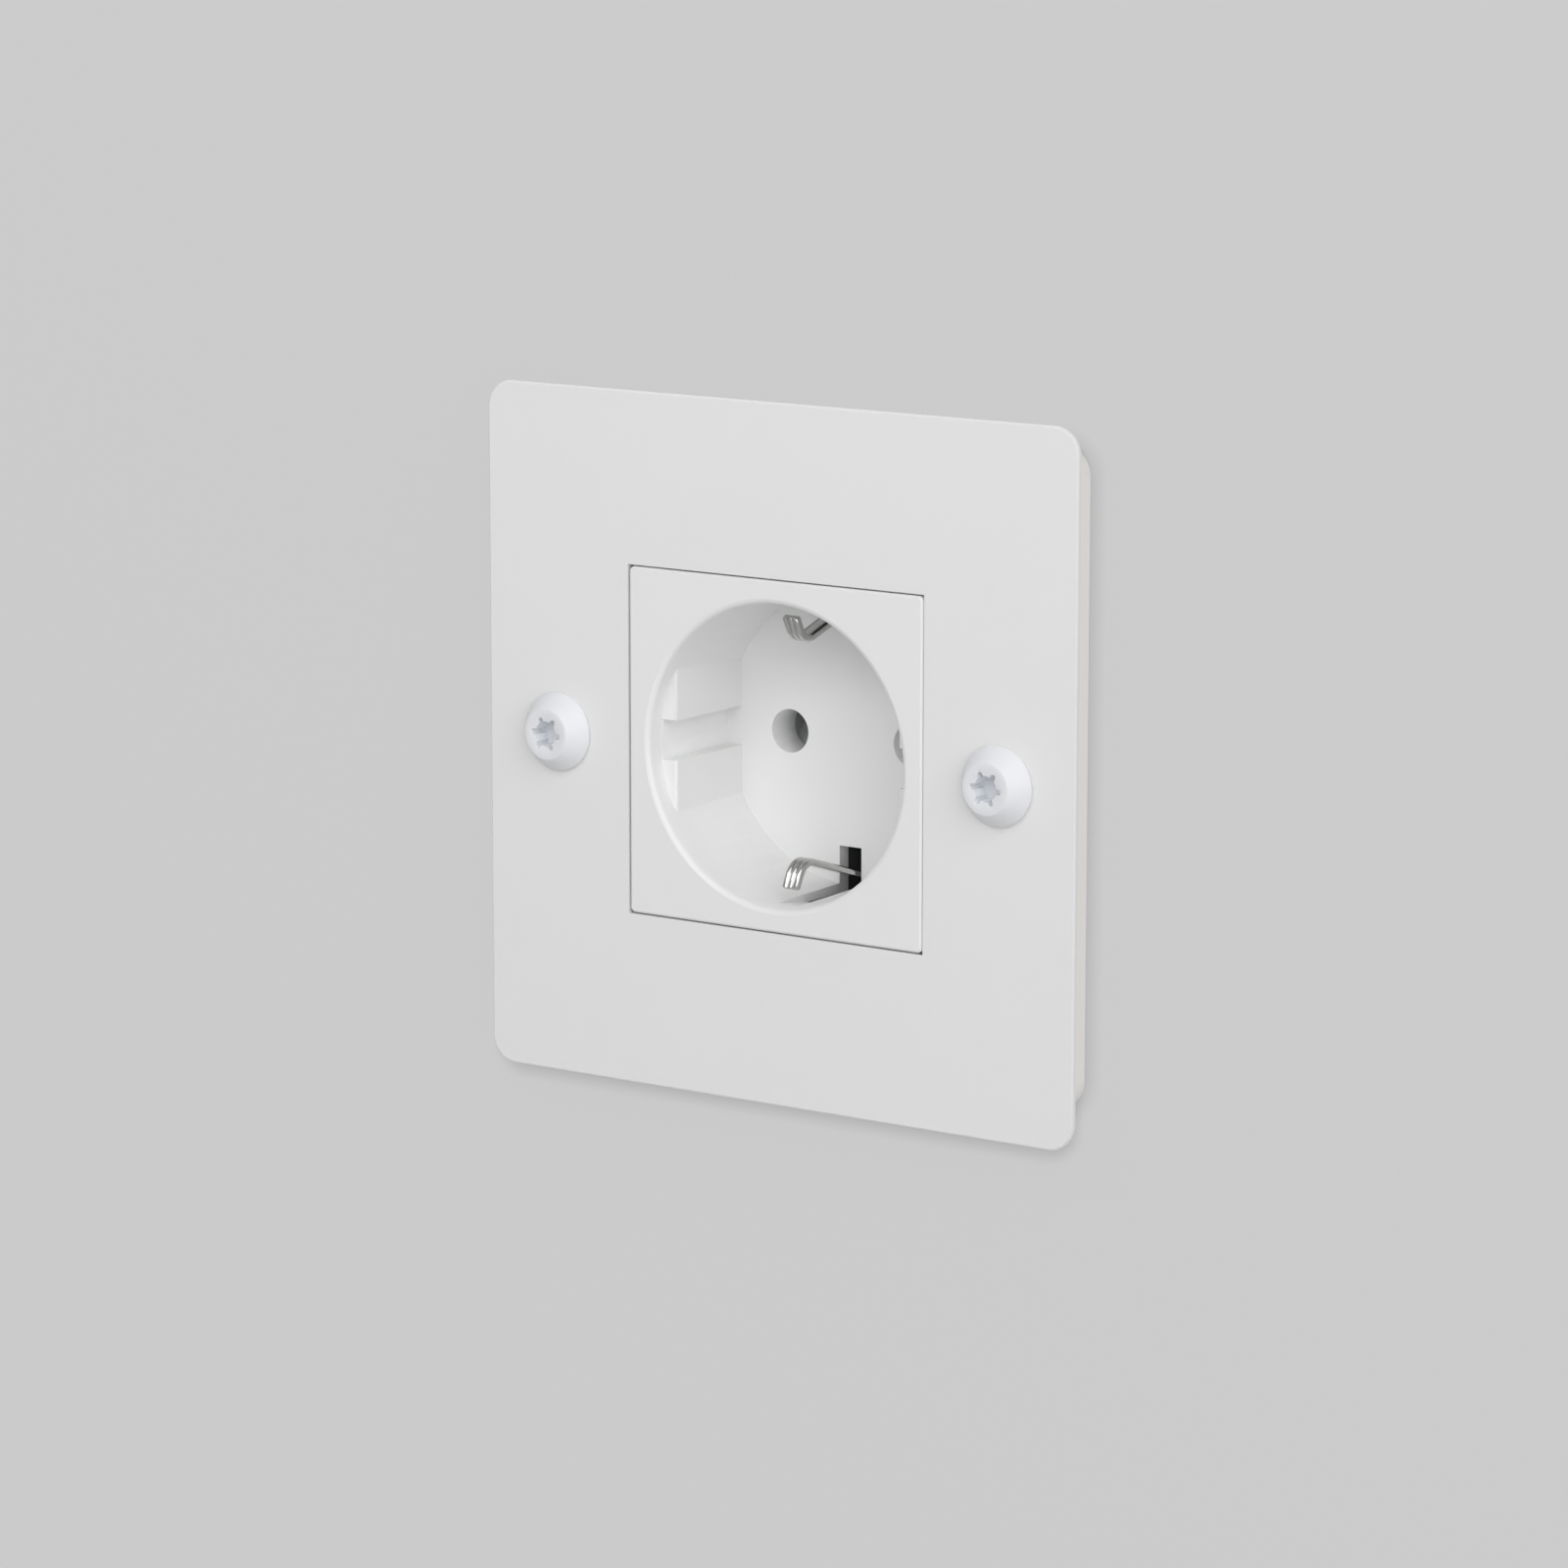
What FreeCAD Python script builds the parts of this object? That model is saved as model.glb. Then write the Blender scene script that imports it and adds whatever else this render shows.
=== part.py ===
import FreeCAD, Part
import os
from math import atan2, cos, pi, radians, sin, sqrt, tan
from types import SimpleNamespace

import Sketcher

# Flush wall socket: a square face plate on a spacer frame, held by two visible screws,
# round a 45 mm socket insert with a round well, side earth clips and a sprung shutter.
# Millimetres. The wall is the plane y = 0, the room is towards -Y and +Z is up.

os.makedirs("parts", exist_ok=True)
doc = FreeCAD.newDocument("wall_socket")
Vector = FreeCAD.Vector
MIDDLE = Vector(0, 0, 0)
UPWARDS = Vector(0, 0, 1)
SIDEWAYS = Vector(1, 0, 0)

# Driving dimensions
sheet = doc.addObject("Spreadsheet::Sheet", "Sizes")
DIMENSIONS = [
    ("front_reach", 8.5, "wall to the front of the face plate"),
    ("plate_size", 90.0, "face plate, edge to edge"),
    ("plate_thickness", 0.8, "face plate sheet"),
    ("plate_corner", 3.5, "face plate corner radius"),
    ("plate_edge", 0.2, "chamfer of the face plate's front edge"),
    ("plate_overhang", 3.5, "face plate past the spacer frame"),
    ("frame_corner", 3.5, "spacer frame corner radius"),
    ("frame_wall", 2.0, "spacer frame outer wall"),
    ("frame_web", 1.5, "web of the spacer frame that backs the face plate"),
    ("frame_rib_length", 6.0, "gusset from the wall of the spacer frame inwards"),
    ("frame_rib_thickness", 1.2, "gusset thickness"),
    ("frame_rib_place", 14.0, "gusset distance from the middle of its side"),
    ("frame_rib_drop", 4.0, "gusset height under the web"),
    ("bridge_side_gap", 1.5, "spacer frame's wall to a side of the bridge"),
    ("bridge_end_gap", 4.0, "spacer frame's wall to the top or foot of the bridge"),
    ("bridge_thickness", 1.2, "mounting bridge sheet"),
    ("bridge_corner", 4.0, "mounting bridge corner radius"),
    ("box_screw_inset", 5.5, "bridge edge to a wall-box screw"),
    ("box_slot_radius", 1.9, "half width of a wall-box screw slot"),
    ("box_slot_length", 6.0, "wall-box screw slot, end to end"),
    ("fixing_hole_inset", 6.5, "top or foot of the bridge to a corner fixing hole"),
    ("fixing_hole_radius", 1.75, "corner fixing hole"),
    ("plate_screw_inset", 4.2, "bridge edge to a plate screw"),
    ("plate_screw_radius", 2.0, "plate screw thread"),
    ("plate_screw_gap", 0.2, "clearance round the plate screws"),
    ("plate_screw_tip", 1.6, "wall to the tip of a plate screw"),
    ("head_radius", 5.1, "plate screw head at its base"),
    ("head_flat_radius", 3.4, "flat top of the plate screw head"),
    ("head_height", 3.0, "plate screw head"),
    ("head_rim", 0.5, "upright rim of the plate screw head"),
    ("star_across", 4.43, "six-lobe recess over the lobes"),
    ("star_waist", 3.19, "six-lobe recess between the lobes"),
    ("star_lobe_radius", 0.4, "tip radius of a lobe"),
    ("star_depth", 1.9, "six-lobe recess depth"),
    ("star_turn", 5.5, "turn of the recess, degrees"),
    ("pillar_across", 6.4, "threaded pillar over its flats"),
    ("rivet_radius", 2.6, "riveted end of a threaded pillar"),
    ("insert_size", 45.0, "socket insert face, edge to edge"),
    ("insert_corner", 0.7, "corner radius of the insert face"),
    ("insert_edge", 0.25, "chamfer of the insert's front edge"),
    ("insert_gap", 0.2, "joint line between the insert and the face plate"),
    ("web_gap", 0.5, "clearance between the insert and the spacer's web"),
    ("face_thickness", 2.0, "insert face"),
    ("face_overhang", 1.1, "insert face past the skirt"),
    ("face_margin", 3.0, "insert face between its edge and the well"),
    ("body_corner", 3.0, "corner radius of the skirt and the rear base"),
    ("skirt_wall", 1.2, "skirt wall"),
    ("skirt_reach", 0.9, "skirt past the wall plane"),
    ("bridge_gap", 0.3, "clearance between the skirt and the bridge"),
    ("stop_width", 4.0, "stop rib that rests on the bridge"),
    ("stop_place", 11.0, "stop rib distance from the middle of its side"),
    ("stop_height", 1.0, "stop rib over the skirt"),
    ("latch_width", 6.0, "latch tab"),
    ("latch_place", 12.5, "latch tab distance from the middle of its side"),
    ("latch_length", 2.6, "latch tab past the skirt"),
    ("latch_catch", 0.9, "latch hook over the skirt"),
    ("latch_play", 0.05, "gap between a latch hook and the bridge"),
    ("well_depth", 17.3, "plug well, face to floor"),
    ("well_wall", 1.0, "wall round the well"),
    ("well_taper", 0.25, "narrowing of the well from its ledge to its floor"),
    ("well_rim", 0.7, "rounding of the well's rim"),
    ("floor_thickness", 2.0, "well floor"),
    ("ledge_depth", 2.8, "face to the front of the side flats"),
    ("flat_rise", 2.4, "side flat inside the well wall"),
    ("flat_edge", 0.4, "rounding of a side flat's front edge"),
    ("groove_width", 5.2, "guide groove in a side flat"),
    ("groove_rise", 0.1, "bottom of a guide groove inside the well wall"),
    ("pin_pitch", 19.0, "pin holes, left to right"),
    ("pin_hole_radius", 2.87, "pin hole"),
    ("collar_wall", 1.3, "collar round a pin hole"),
    ("collar_length", 3.2, "collar behind the well floor"),
    ("clip_slot_width", 3.4, "slot for an earth clip"),
    ("clip_slot_inset", 5.3, "well wall to the inner end of a clip slot"),
    ("clip_slot_depth", 9.5, "face to the front of a clip slot in the well wall"),
    ("clip_ramp_depth", 3.0, "face to the front of the ramp before a clip slot"),
    ("clip_ramp_sink", 0.8, "depth of the ramp at the clip slot"),
    ("clip_ramp_start", 0.12, "start of the ramp inside the face of the well wall"),
    ("boss_x", 8.0, "centre to a base screw, sideways"),
    ("boss_inset", 4.0, "well wall to a base screw, up or down"),
    ("boss_radius", 2.4, "screw boss on the well floor"),
    ("boss_length", 5.0, "screw boss behind the well floor"),
    ("base_screw_radius", 1.2, "base screw thread"),
    ("base_screw_head", 2.3, "base screw head radius"),
    ("base_screw_head_height", 1.6, "base screw head"),
    ("base_screw_web", 2.4, "base wall under a base screw head"),
    ("fit_gap", 0.1, "clearance between mouldings that fit together"),
    ("back_wall", 3.85, "rear base behind the contact chambers"),
    ("base_edge", 1.0, "chamfer round the back of the rear base"),
    ("trough_depth", 1.2, "trough that leads a wire to its entry"),
    ("trough_width", 6.2, "width of that trough"),
    ("core_wall", 1.5, "wall beside a hollow in the back of the rear base"),
    ("core_side_wall", 2.5, "wall between such a hollow and the side of the base"),
    ("core_rib", 1.0, "rib between two such hollows"),
    ("core_floor", 2.0, "wall in front of such a hollow"),
    ("shutter_width", 30.7, "safety shutter, left to right"),
    ("shutter_thickness", 5.0, "safety shutter, front to back"),
    ("shutter_low", 4.9, "centre to the lower edge of the shutter at rest"),
    ("shutter_clearance", 5.1, "base screw down to the upper edge of the shutter at rest"),
    ("chamber_clearance", 4.0, "base screw up to the foot of the shutter's chamber"),
    ("shutter_play", 0.15, "running gap in front of and behind the shutter"),
    ("window_width", 5.9, "window and ramp of the shutter"),
    ("ramp_low", 2.9, "centre to the front end of the ramp"),
    ("ramp_high", 3.6, "centre to the back end of the ramp"),
    ("window_bar", 0.95, "bar of the shutter over a window"),
    ("spring_slot_width", 4.6, "slot for the spring in the shutter"),
    ("spring_bar", 1.4, "bar of the shutter over the spring"),
    ("spring_radius", 1.65, "spring, centre to wire centre"),
    ("spring_wire", 0.2, "spring wire radius"),
    ("spring_pin_radius", 1.0, "pins that centre the spring"),
    ("spring_pin_length", 1.5, "length of those pins"),
    ("peg_width", 4.0, "spring peg on the inner plate"),
    ("peg_thickness", 1.5, "spring peg, bottom to top"),
    ("peg_gap", 0.2, "spring peg under the shutter at rest"),
    ("inner_plate_thickness", 1.2, "inner plate"),
    ("contact_sheet", 0.7, "contact strip"),
    ("contact_width", 4.8, "contact strip at the leaves"),
    ("contact_grip", 2.25, "pin axis to a leaf at its waist"),
    ("contact_mouth", 3.0, "pin axis to a leaf at its mouth"),
    ("contact_back", 2.6, "pin axis to a leaf at its back"),
    ("contact_waist_depth", 2.0, "mouth to waist of the leaves"),
    ("contact_length", 8.0, "contact leaves, front to back"),
    ("block_gap", 0.8, "contact leaves to the terminal block"),
    ("block_width", 6.0, "terminal block across its screw"),
    ("block_height", 7.0, "terminal block, bottom to top"),
    ("block_length", 7.6, "terminal block, front to back"),
    ("wire_radius", 1.6, "wire hole in a terminal block"),
    ("wire_length", 6.0, "depth of a wire hole"),
    ("wire_entry_radius", 1.95, "wire entry in the rear base"),
    ("clamp_screw_radius", 1.5, "terminal screw thread"),
    ("clamp_head_radius", 2.5, "terminal screw head radius"),
    ("clamp_head_height", 1.9, "terminal screw head"),
    ("clamp_slot_width", 0.8, "driver slot in a terminal screw"),
    ("clamp_hole_gap", 0.15, "clearance of a terminal screw in the strip"),
    ("access_radius", 2.7, "screwdriver hole in the rear base"),
    ("chamber_gap", 0.25, "clearance round contacts and blocks"),
    ("earth_block_place", 7.7, "centre down to the earth wire"),
    ("strap_rib", 0.43, "half the thickness of the earth strap"),
    ("strap_groove", 0.2, "depth and half width of a groove between its ribs"),
    ("strap_rib_pitch", 0.78, "ribs of the earth strap"),
    ("strap_channel_width", 4.0, "channel for the earth strap in the rear base"),
    ("strap_gap", 2.07, "inner plate to the earth strap's cross run"),
    ("strap_inset", 0.9, "well wall to the legs of the earth strap"),
    ("earth_block_length", 7.0, "earth terminal block, front to back"),
    ("strap_bend", 1.6, "bend at the back of the earth strap"),
    ("clip_root_bend", 3.0, "bend where a clip leaves its leg"),
    ("clip_crest_bend", 2.5, "bend of a clip's crest"),
    ("clip_crest_depth", 5.6, "face to the corner of a clip's crest"),
    ("clip_crest_inset", 5.6, "well wall to the corner of a clip's crest"),
    ("clip_arm_run", 13.0, "clip crest to clip root, front to back"),
    ("clip_tip_depth", 3.8, "face to the tip of a clip"),
    ("clip_tip_inset", 2.05, "well wall to the tip of a clip"),
]
for row, (alias, number, note) in enumerate(DIMENSIONS, 1):
    sheet.set("A%d" % row, note)
    sheet.set("B%d" % row, str(number))
    sheet.setAlias("B%d" % row, alias)
doc.recompute()


class Size:
    """A length that carries its number and the sheet formula that gives it."""

    def __init__(self, value, formula):
        self.value = float(value)
        self.formula = formula

    def __add__(self, other):
        other = as_size(other)
        return Size(self.value + other.value, "(%s + %s)" % (self.formula, other.formula))

    def __sub__(self, other):
        other = as_size(other)
        return Size(self.value - other.value, "(%s - %s)" % (self.formula, other.formula))

    def __mul__(self, factor):
        return Size(self.value * factor, "(%s * %s)" % (self.formula, factor))

    def __truediv__(self, factor):
        return Size(self.value / factor, "(%s / %s)" % (self.formula, factor))

    def __neg__(self):
        return self * -1


def as_size(number):
    return number if isinstance(number, Size) else Size(number, str(number))


def bind(thing, name, size):
    thing.setExpression(name, as_size(size).formula)


s = SimpleNamespace(**{alias: Size(sheet.get(alias), "Sizes." + alias) for alias, number, note in DIMENSIONS})


# Bodies, sketches and features

def new_body(label):
    body = doc.addObject("PartDesign::Body", label)
    body.Label = label
    return body


def origin(body, role):
    return next(item for item in body.Origin.OriginFeatures if item.Role == role)


def sketch_on(body, name, role, offset=None):
    """A sketch on an origin plane of its body, moved along the plane's normal."""
    sketch = body.newObject("Sketcher::SketchObject", name)
    sketch.AttachmentSupport = (origin(body, role), [""])
    sketch.MapMode = "FlatFace"
    if offset is not None:
        bind(sketch, "AttachmentOffset.Base.z", offset)
    return sketch


def front_sketch(body, name, y):
    """A sketch seen from the room, in the plane at depth y."""
    return sketch_on(body, name, "XZ_Plane", -as_size(y))


def dimension(sketch, kind, size, *where):
    index = sketch.addConstraint(Sketcher.Constraint(kind, *where, as_size(size).value))
    bind(sketch, "Constraints[%d]" % index, size)


def fix_point(sketch, geo, end, x, y):
    for axis, kind, place in ((-2, "DistanceX", as_size(x)), (-1, "DistanceY", as_size(y))):
        if place.value == 0:
            sketch.addConstraint(Sketcher.Constraint("PointOnObject", geo, end, axis))
        else:
            dimension(sketch, kind, place, -1, 1, geo, end)


def polygon(sketch, points):
    points = [(as_size(x), as_size(y)) for x, y in points]
    corners = [Vector(x.value, y.value, 0) for x, y in points]
    lines = []
    for start, end in zip(corners, corners[1:] + corners[:1]):
        lines.append(sketch.addGeometry(Part.LineSegment(start, end), False))
    for line, following in zip(lines, lines[1:] + lines[:1]):
        sketch.addConstraint(Sketcher.Constraint("Coincident", line, 2, following, 1))
    for line, (x, y) in zip(lines, points):
        fix_point(sketch, line, 1, x, y)


def rectangle(sketch, left, right, low, high):
    polygon(sketch, [(left, low), (right, low), (right, high), (left, high)])


def circle(sketch, x, y, radius):
    middle = Vector(as_size(x).value, as_size(y).value, 0)
    geo = sketch.addGeometry(Part.Circle(middle, UPWARDS, as_size(radius).value), False)
    fix_point(sketch, geo, 3, x, y)
    dimension(sketch, "Radius", radius, geo)


def rounded_rectangle(sketch, width, height, radius):
    """A rectangle about the origin with tangent corner arcs."""
    across, up, bend = width.value / 2, height.value / 2, radius.value
    geo = []
    for quarter in range(4):
        turn = radians(90 * quarter)
        if quarter == 0:
            run = (Vector(across, -up + bend, 0), Vector(across, up - bend, 0))
            middle = Vector(across - bend, up - bend, 0)
        elif quarter == 1:
            run = (Vector(across - bend, up, 0), Vector(-across + bend, up, 0))
            middle = Vector(-across + bend, up - bend, 0)
        elif quarter == 2:
            run = (Vector(-across, up - bend, 0), Vector(-across, -up + bend, 0))
            middle = Vector(-across + bend, -up + bend, 0)
        else:
            run = (Vector(-across + bend, -up, 0), Vector(across - bend, -up, 0))
            middle = Vector(across - bend, -up + bend, 0)
        geo.append(sketch.addGeometry(Part.LineSegment(*run), False))
        corner = Part.Circle(middle, UPWARDS, bend)
        geo.append(sketch.addGeometry(Part.ArcOfCircle(corner, turn, turn + pi / 2), False))
    for item, following in zip(geo, geo[1:] + geo[:1]):
        sketch.addConstraint(Sketcher.Constraint("Tangent", item, 2, following, 1))
    right, top, left, bottom = geo[0::2]
    sketch.addConstraint(Sketcher.Constraint("Vertical", right))
    sketch.addConstraint(Sketcher.Constraint("Horizontal", top))
    sketch.addConstraint(Sketcher.Constraint("Vertical", left))
    sketch.addConstraint(Sketcher.Constraint("Horizontal", bottom))
    for arc in geo[3::2]:
        sketch.addConstraint(Sketcher.Constraint("Equal", geo[1], arc))
    dimension(sketch, "Radius", radius, geo[1])
    dimension(sketch, "DistanceX", width / 2, -1, 1, right, 1)
    dimension(sketch, "DistanceX", -width / 2, -1, 1, left, 1)
    dimension(sketch, "DistanceY", height / 2, -1, 1, top, 1)
    dimension(sketch, "DistanceY", -height / 2, -1, 1, bottom, 1)


def extrude(kind, body, name, sketch, length, reverse=False, both=False, taper=None):
    feature = body.newObject("PartDesign::" + kind, name)
    feature.Profile = sketch
    bind(feature, "Length", length)
    feature.Reversed = reverse
    if both:
        feature.SideType = "Symmetric"
    if taper is not None:
        bind(feature, "TaperAngle", taper)
    sketch.Visibility = False
    doc.recompute()
    return feature


def pad(body, name, sketch, length, **options):
    return extrude("Pad", body, name, sketch, length, **options)


def pocket(body, name, sketch, length, **options):
    """A pocket that has to take material away."""
    before = body.Shape.Volume
    feature = extrude("Pocket", body, name, sketch, length, **options)
    if not body.Shape.Volume < before:
        raise RuntimeError("%s %s cuts nothing" % (body.Label, name))
    return feature


def revolve(body, name, sketch, role, kind="Revolution"):
    feature = body.newObject("PartDesign::" + kind, name)
    feature.Profile = sketch
    feature.ReferenceAxis = (origin(body, role), [""])
    feature.Angle = 360
    sketch.Visibility = False
    doc.recompute()
    return feature


def turned_cut(body, name, sketch, role):
    """A turned groove that has to take material away."""
    before = body.Shape.Volume
    revolve(body, name, sketch, role, kind="Groove")
    if not body.Shape.Volume < before:
        raise RuntimeError("%s %s cuts nothing" % (body.Label, name))


def turn_pattern(body, name, features, count):
    pattern = body.newObject("PartDesign::PolarPattern", name)
    pattern.Originals = features
    pattern.Axis = (origin(body, "Y_Axis"), [""])
    pattern.Angle = 360
    pattern.Occurrences = count
    body.Tip = pattern
    doc.recompute()
    return pattern


def mirror(body, name, features, role):
    mirrored = body.newObject("PartDesign::Mirrored", name)
    mirrored.Originals = features
    mirrored.MirrorPlane = (origin(body, role), [""])
    body.Tip = mirrored
    doc.recompute()
    return mirrored


def dress(kind, body, name, size, chosen):
    """A fillet or chamfer on the edges of the body that the test picks."""
    base = body.Tip
    edges = ["Edge%d" % number for number, edge in enumerate(base.Shape.Edges, 1) if chosen(edge)]
    feature = body.newObject("PartDesign::" + kind, name)
    feature.Base = (base, edges)
    bind(feature, "Radius" if kind == "Fillet" else "Size", size)
    doc.recompute()
    return feature


def lies_at(edge, axis, place):
    """True where the whole edge lies in the plane axis = place."""
    low = getattr(edge.BoundBox, axis + "Min")
    high = getattr(edge.BoundBox, axis + "Max")
    return abs(low - place) < 1e-4 and abs(high - place) < 1e-4


def place(body, x=None, y=None, z=None):
    for axis, size in (("x", x), ("y", y), ("z", z)):
        if size is not None:
            bind(body, "Placement.Base." + axis, size)


# Planes that several pieces share
front_y = -s.front_reach
plate_back_y = front_y + s.plate_thickness
web_back_y = plate_back_y + s.frame_web
bridge_front_y = -s.bridge_thickness
skirt_end_y = s.skirt_reach
floor_y = front_y + s.well_depth
floor_back_y = floor_y + s.floor_thickness
collar_end_y = floor_back_y + s.collar_length
shutter_front_y = collar_end_y + s.shutter_play
shutter_back_y = shutter_front_y + s.shutter_thickness
inner_plate_y = shutter_back_y + s.shutter_play
inner_plate_back_y = inner_plate_y + s.inner_plate_thickness
body_size = s.insert_size - s.face_overhang * 2
body_half = body_size / 2
well_radius = s.insert_size / 2 - s.face_margin
flat_place = well_radius - s.flat_rise
boss_z = well_radius - s.boss_inset
frame_size = s.plate_size - s.plate_overhang * 2
frame_inside = frame_size - s.frame_wall * 2
bridge_width = frame_inside - s.bridge_side_gap * 2
bridge_height = frame_inside - s.bridge_end_gap * 2
box_screw_z = bridge_height / 2 - s.box_screw_inset
fixing_hole_place = bridge_height / 2 - s.fixing_hole_inset
plate_screw_x = bridge_width / 2 - s.plate_screw_inset
plate_hole_radius = s.plate_screw_radius + s.plate_screw_gap
pin_x = s.pin_pitch / 2
shutter_high = boss_z - s.shutter_clearance
chamber_low = boss_z - s.chamber_clearance
chamber_high = shutter_high + s.fit_gap
shutter_middle_y = shutter_front_y + s.shutter_thickness / 2
peg_high = s.shutter_low + s.peg_gap
boss_socket_y = floor_back_y + s.boss_length + s.fit_gap
screw_seat_y = boss_socket_y + s.base_screw_web
contact_front_y = inner_plate_back_y + s.fit_gap
contact_back_y = contact_front_y + s.contact_length
contact_outer_x = pin_x + s.contact_mouth + s.contact_sheet + s.chamber_gap
block_outer_x = pin_x + s.contact_grip
block_inner_x = block_outer_x - s.block_width
block_middle_x = block_outer_x - s.block_width / 2
block_low_z = s.contact_width / 2 + s.block_gap
block_middle_z = block_low_z + s.block_height / 2
block_back_y = contact_back_y + s.block_gap
block_front_y = block_back_y - s.block_length
block_middle_y = block_back_y - s.wire_length / 2
base_back_y = block_back_y + s.chamber_gap + s.back_wall
strap_y = inner_plate_back_y + s.strap_gap + s.strap_rib
strap_leg = well_radius - s.strap_inset
earth_front_y = strap_y - s.strap_rib
earth_back_y = earth_front_y + s.earth_block_length
earth_middle_y = earth_back_y - s.wire_length / 2
earth_low_z = -s.earth_block_place - s.block_height / 2
earth_high_z = -s.earth_block_place + s.block_height / 2


def face_plate():
    """White sheet plate with a square opening and two screw holes."""
    body = new_body("face_plate")
    outline = front_sketch(body, "plate_outline", plate_back_y)
    rounded_rectangle(outline, s.plate_size, s.plate_size, s.plate_corner)
    pad(body, "plate_sheet", outline, s.plate_thickness)
    opening = front_sketch(body, "plate_opening", front_y)
    opening_half = s.insert_size / 2 + s.insert_gap
    rectangle(opening, -opening_half, opening_half, -opening_half, opening_half)
    for side in (-1, 1):
        circle(opening, plate_screw_x * side, 0, plate_hole_radius)
    pocket(body, "plate_openings", opening, s.plate_thickness)
    half = s.plate_size.value / 2
    front = front_y.value

    def outer_front(edge):
        middle = edge.BoundBox.Center
        reach = max(abs(middle.x), abs(middle.z))
        return lies_at(edge, "Y", front) and reach > half - 2 * s.plate_corner.value

    dress("Chamfer", body, "plate_front_edge", s.plate_edge, outer_front)
    return body


def spacer_frame():
    """Moulded frame that stands on the wall and backs the face plate."""
    body = new_body("spacer_frame")
    outline = front_sketch(body, "frame_outline", 0)
    rounded_rectangle(outline, frame_size, frame_size, s.frame_corner)
    pad(body, "frame_block", outline, -plate_back_y)
    inside = front_sketch(body, "frame_inside", web_back_y)
    rounded_rectangle(inside, frame_inside, frame_inside, s.frame_corner - s.frame_wall)
    pocket(body, "frame_hollow", inside, -web_back_y)
    rib = front_sketch(body, "frame_rib", web_back_y)
    rib_high = frame_inside / 2 + s.frame_wall / 2
    rib_low = frame_inside / 2 - s.frame_rib_length
    for side in (-1, 1):
        middle = s.frame_rib_place * side
        half = s.frame_rib_thickness / 2
        rectangle(rib, middle - half, middle + half, rib_low, rib_high)
    ribs = pad(body, "frame_ribs", rib, s.frame_rib_drop, reverse=True)
    turn_pattern(body, "frame_rib_sides", [ribs], 4)
    opening = front_sketch(body, "web_opening", plate_back_y)
    opening_half = s.insert_size / 2 + s.web_gap
    rectangle(opening, -opening_half, opening_half, -opening_half, opening_half)
    for side in (-1, 1):
        circle(opening, plate_screw_x * side, 0, plate_hole_radius)
    pocket(body, "web_openings", opening, s.frame_web)
    return body


def slot(sketch, x, y, radius, length):
    """An upright slot with round ends, centred on x, y."""
    reach = length / 2 - radius
    low, high = y - reach, y + reach
    across, bend = x.value, radius.value
    foot, top = Vector(across, low.value, 0), Vector(across, high.value, 0)
    sideways = SIDEWAYS * bend
    geo = [
        sketch.addGeometry(Part.ArcOfCircle(Part.Circle(foot, UPWARDS, bend), pi, 2 * pi), False),
        sketch.addGeometry(Part.LineSegment(foot + sideways, top + sideways), False),
        sketch.addGeometry(Part.ArcOfCircle(Part.Circle(top, UPWARDS, bend), 0, pi), False),
        sketch.addGeometry(Part.LineSegment(top - sideways, foot - sideways), False),
    ]
    for item, following in zip(geo, geo[1:] + geo[:1]):
        sketch.addConstraint(Sketcher.Constraint("Tangent", item, 2, following, 1))
    fix_point(sketch, geo[0], 3, x, low)
    fix_point(sketch, geo[2], 3, x, high)
    dimension(sketch, "Radius", radius, geo[0])


def mounting_bridge():
    """Pressed steel bridge on the wall box, which the insert clips into."""
    body = new_body("mounting_bridge")
    outline = front_sketch(body, "bridge_outline", 0)
    rounded_rectangle(outline, bridge_width, bridge_height, s.bridge_corner)
    pad(body, "bridge_sheet", outline, s.bridge_thickness)
    opening = front_sketch(body, "bridge_opening", bridge_front_y)
    opening_size = body_size + s.bridge_gap * 2
    rounded_rectangle(opening, opening_size, opening_size, s.body_corner)
    pocket(body, "bridge_insert_opening", opening, s.bridge_thickness)
    holes = front_sketch(body, "bridge_holes", bridge_front_y)
    for up in (-1, 1):
        slot(holes, as_size(0), box_screw_z * up, s.box_slot_radius, s.box_slot_length)
        for side in (-1, 1):
            circle(holes, fixing_hole_place * side, fixing_hole_place * up, s.fixing_hole_radius)
    for side in (-1, 1):
        circle(holes, plate_screw_x * side, 0, s.rivet_radius)
    pocket(body, "bridge_hole_set", holes, s.bridge_thickness)
    return body


def threaded_pillar(side, label):
    """Hexagonal pillar riveted to the bridge, which takes a plate screw."""
    body = new_body(label)
    hexagon = front_sketch(body, "hexagon", bridge_front_y)
    flat = s.pillar_across / 2
    low, tip = flat / sqrt(3), flat * 2 / sqrt(3)
    polygon(hexagon, [(flat, -low), (flat, low), (0, tip), (-flat, low), (-flat, -low), (0, -tip)])
    pad(body, "hexagon_shank", hexagon, bridge_front_y - web_back_y)
    rivet = front_sketch(body, "rivet_outline", 0)
    circle(rivet, 0, 0, s.rivet_radius)
    pad(body, "rivet_end", rivet, s.bridge_thickness)
    bore = front_sketch(body, "bore_outline", 0)
    circle(bore, 0, 0, s.plate_screw_radius)
    pocket(body, "bore", bore, -web_back_y, reverse=True)
    place(body, x=plate_screw_x * side)
    return body


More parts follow.
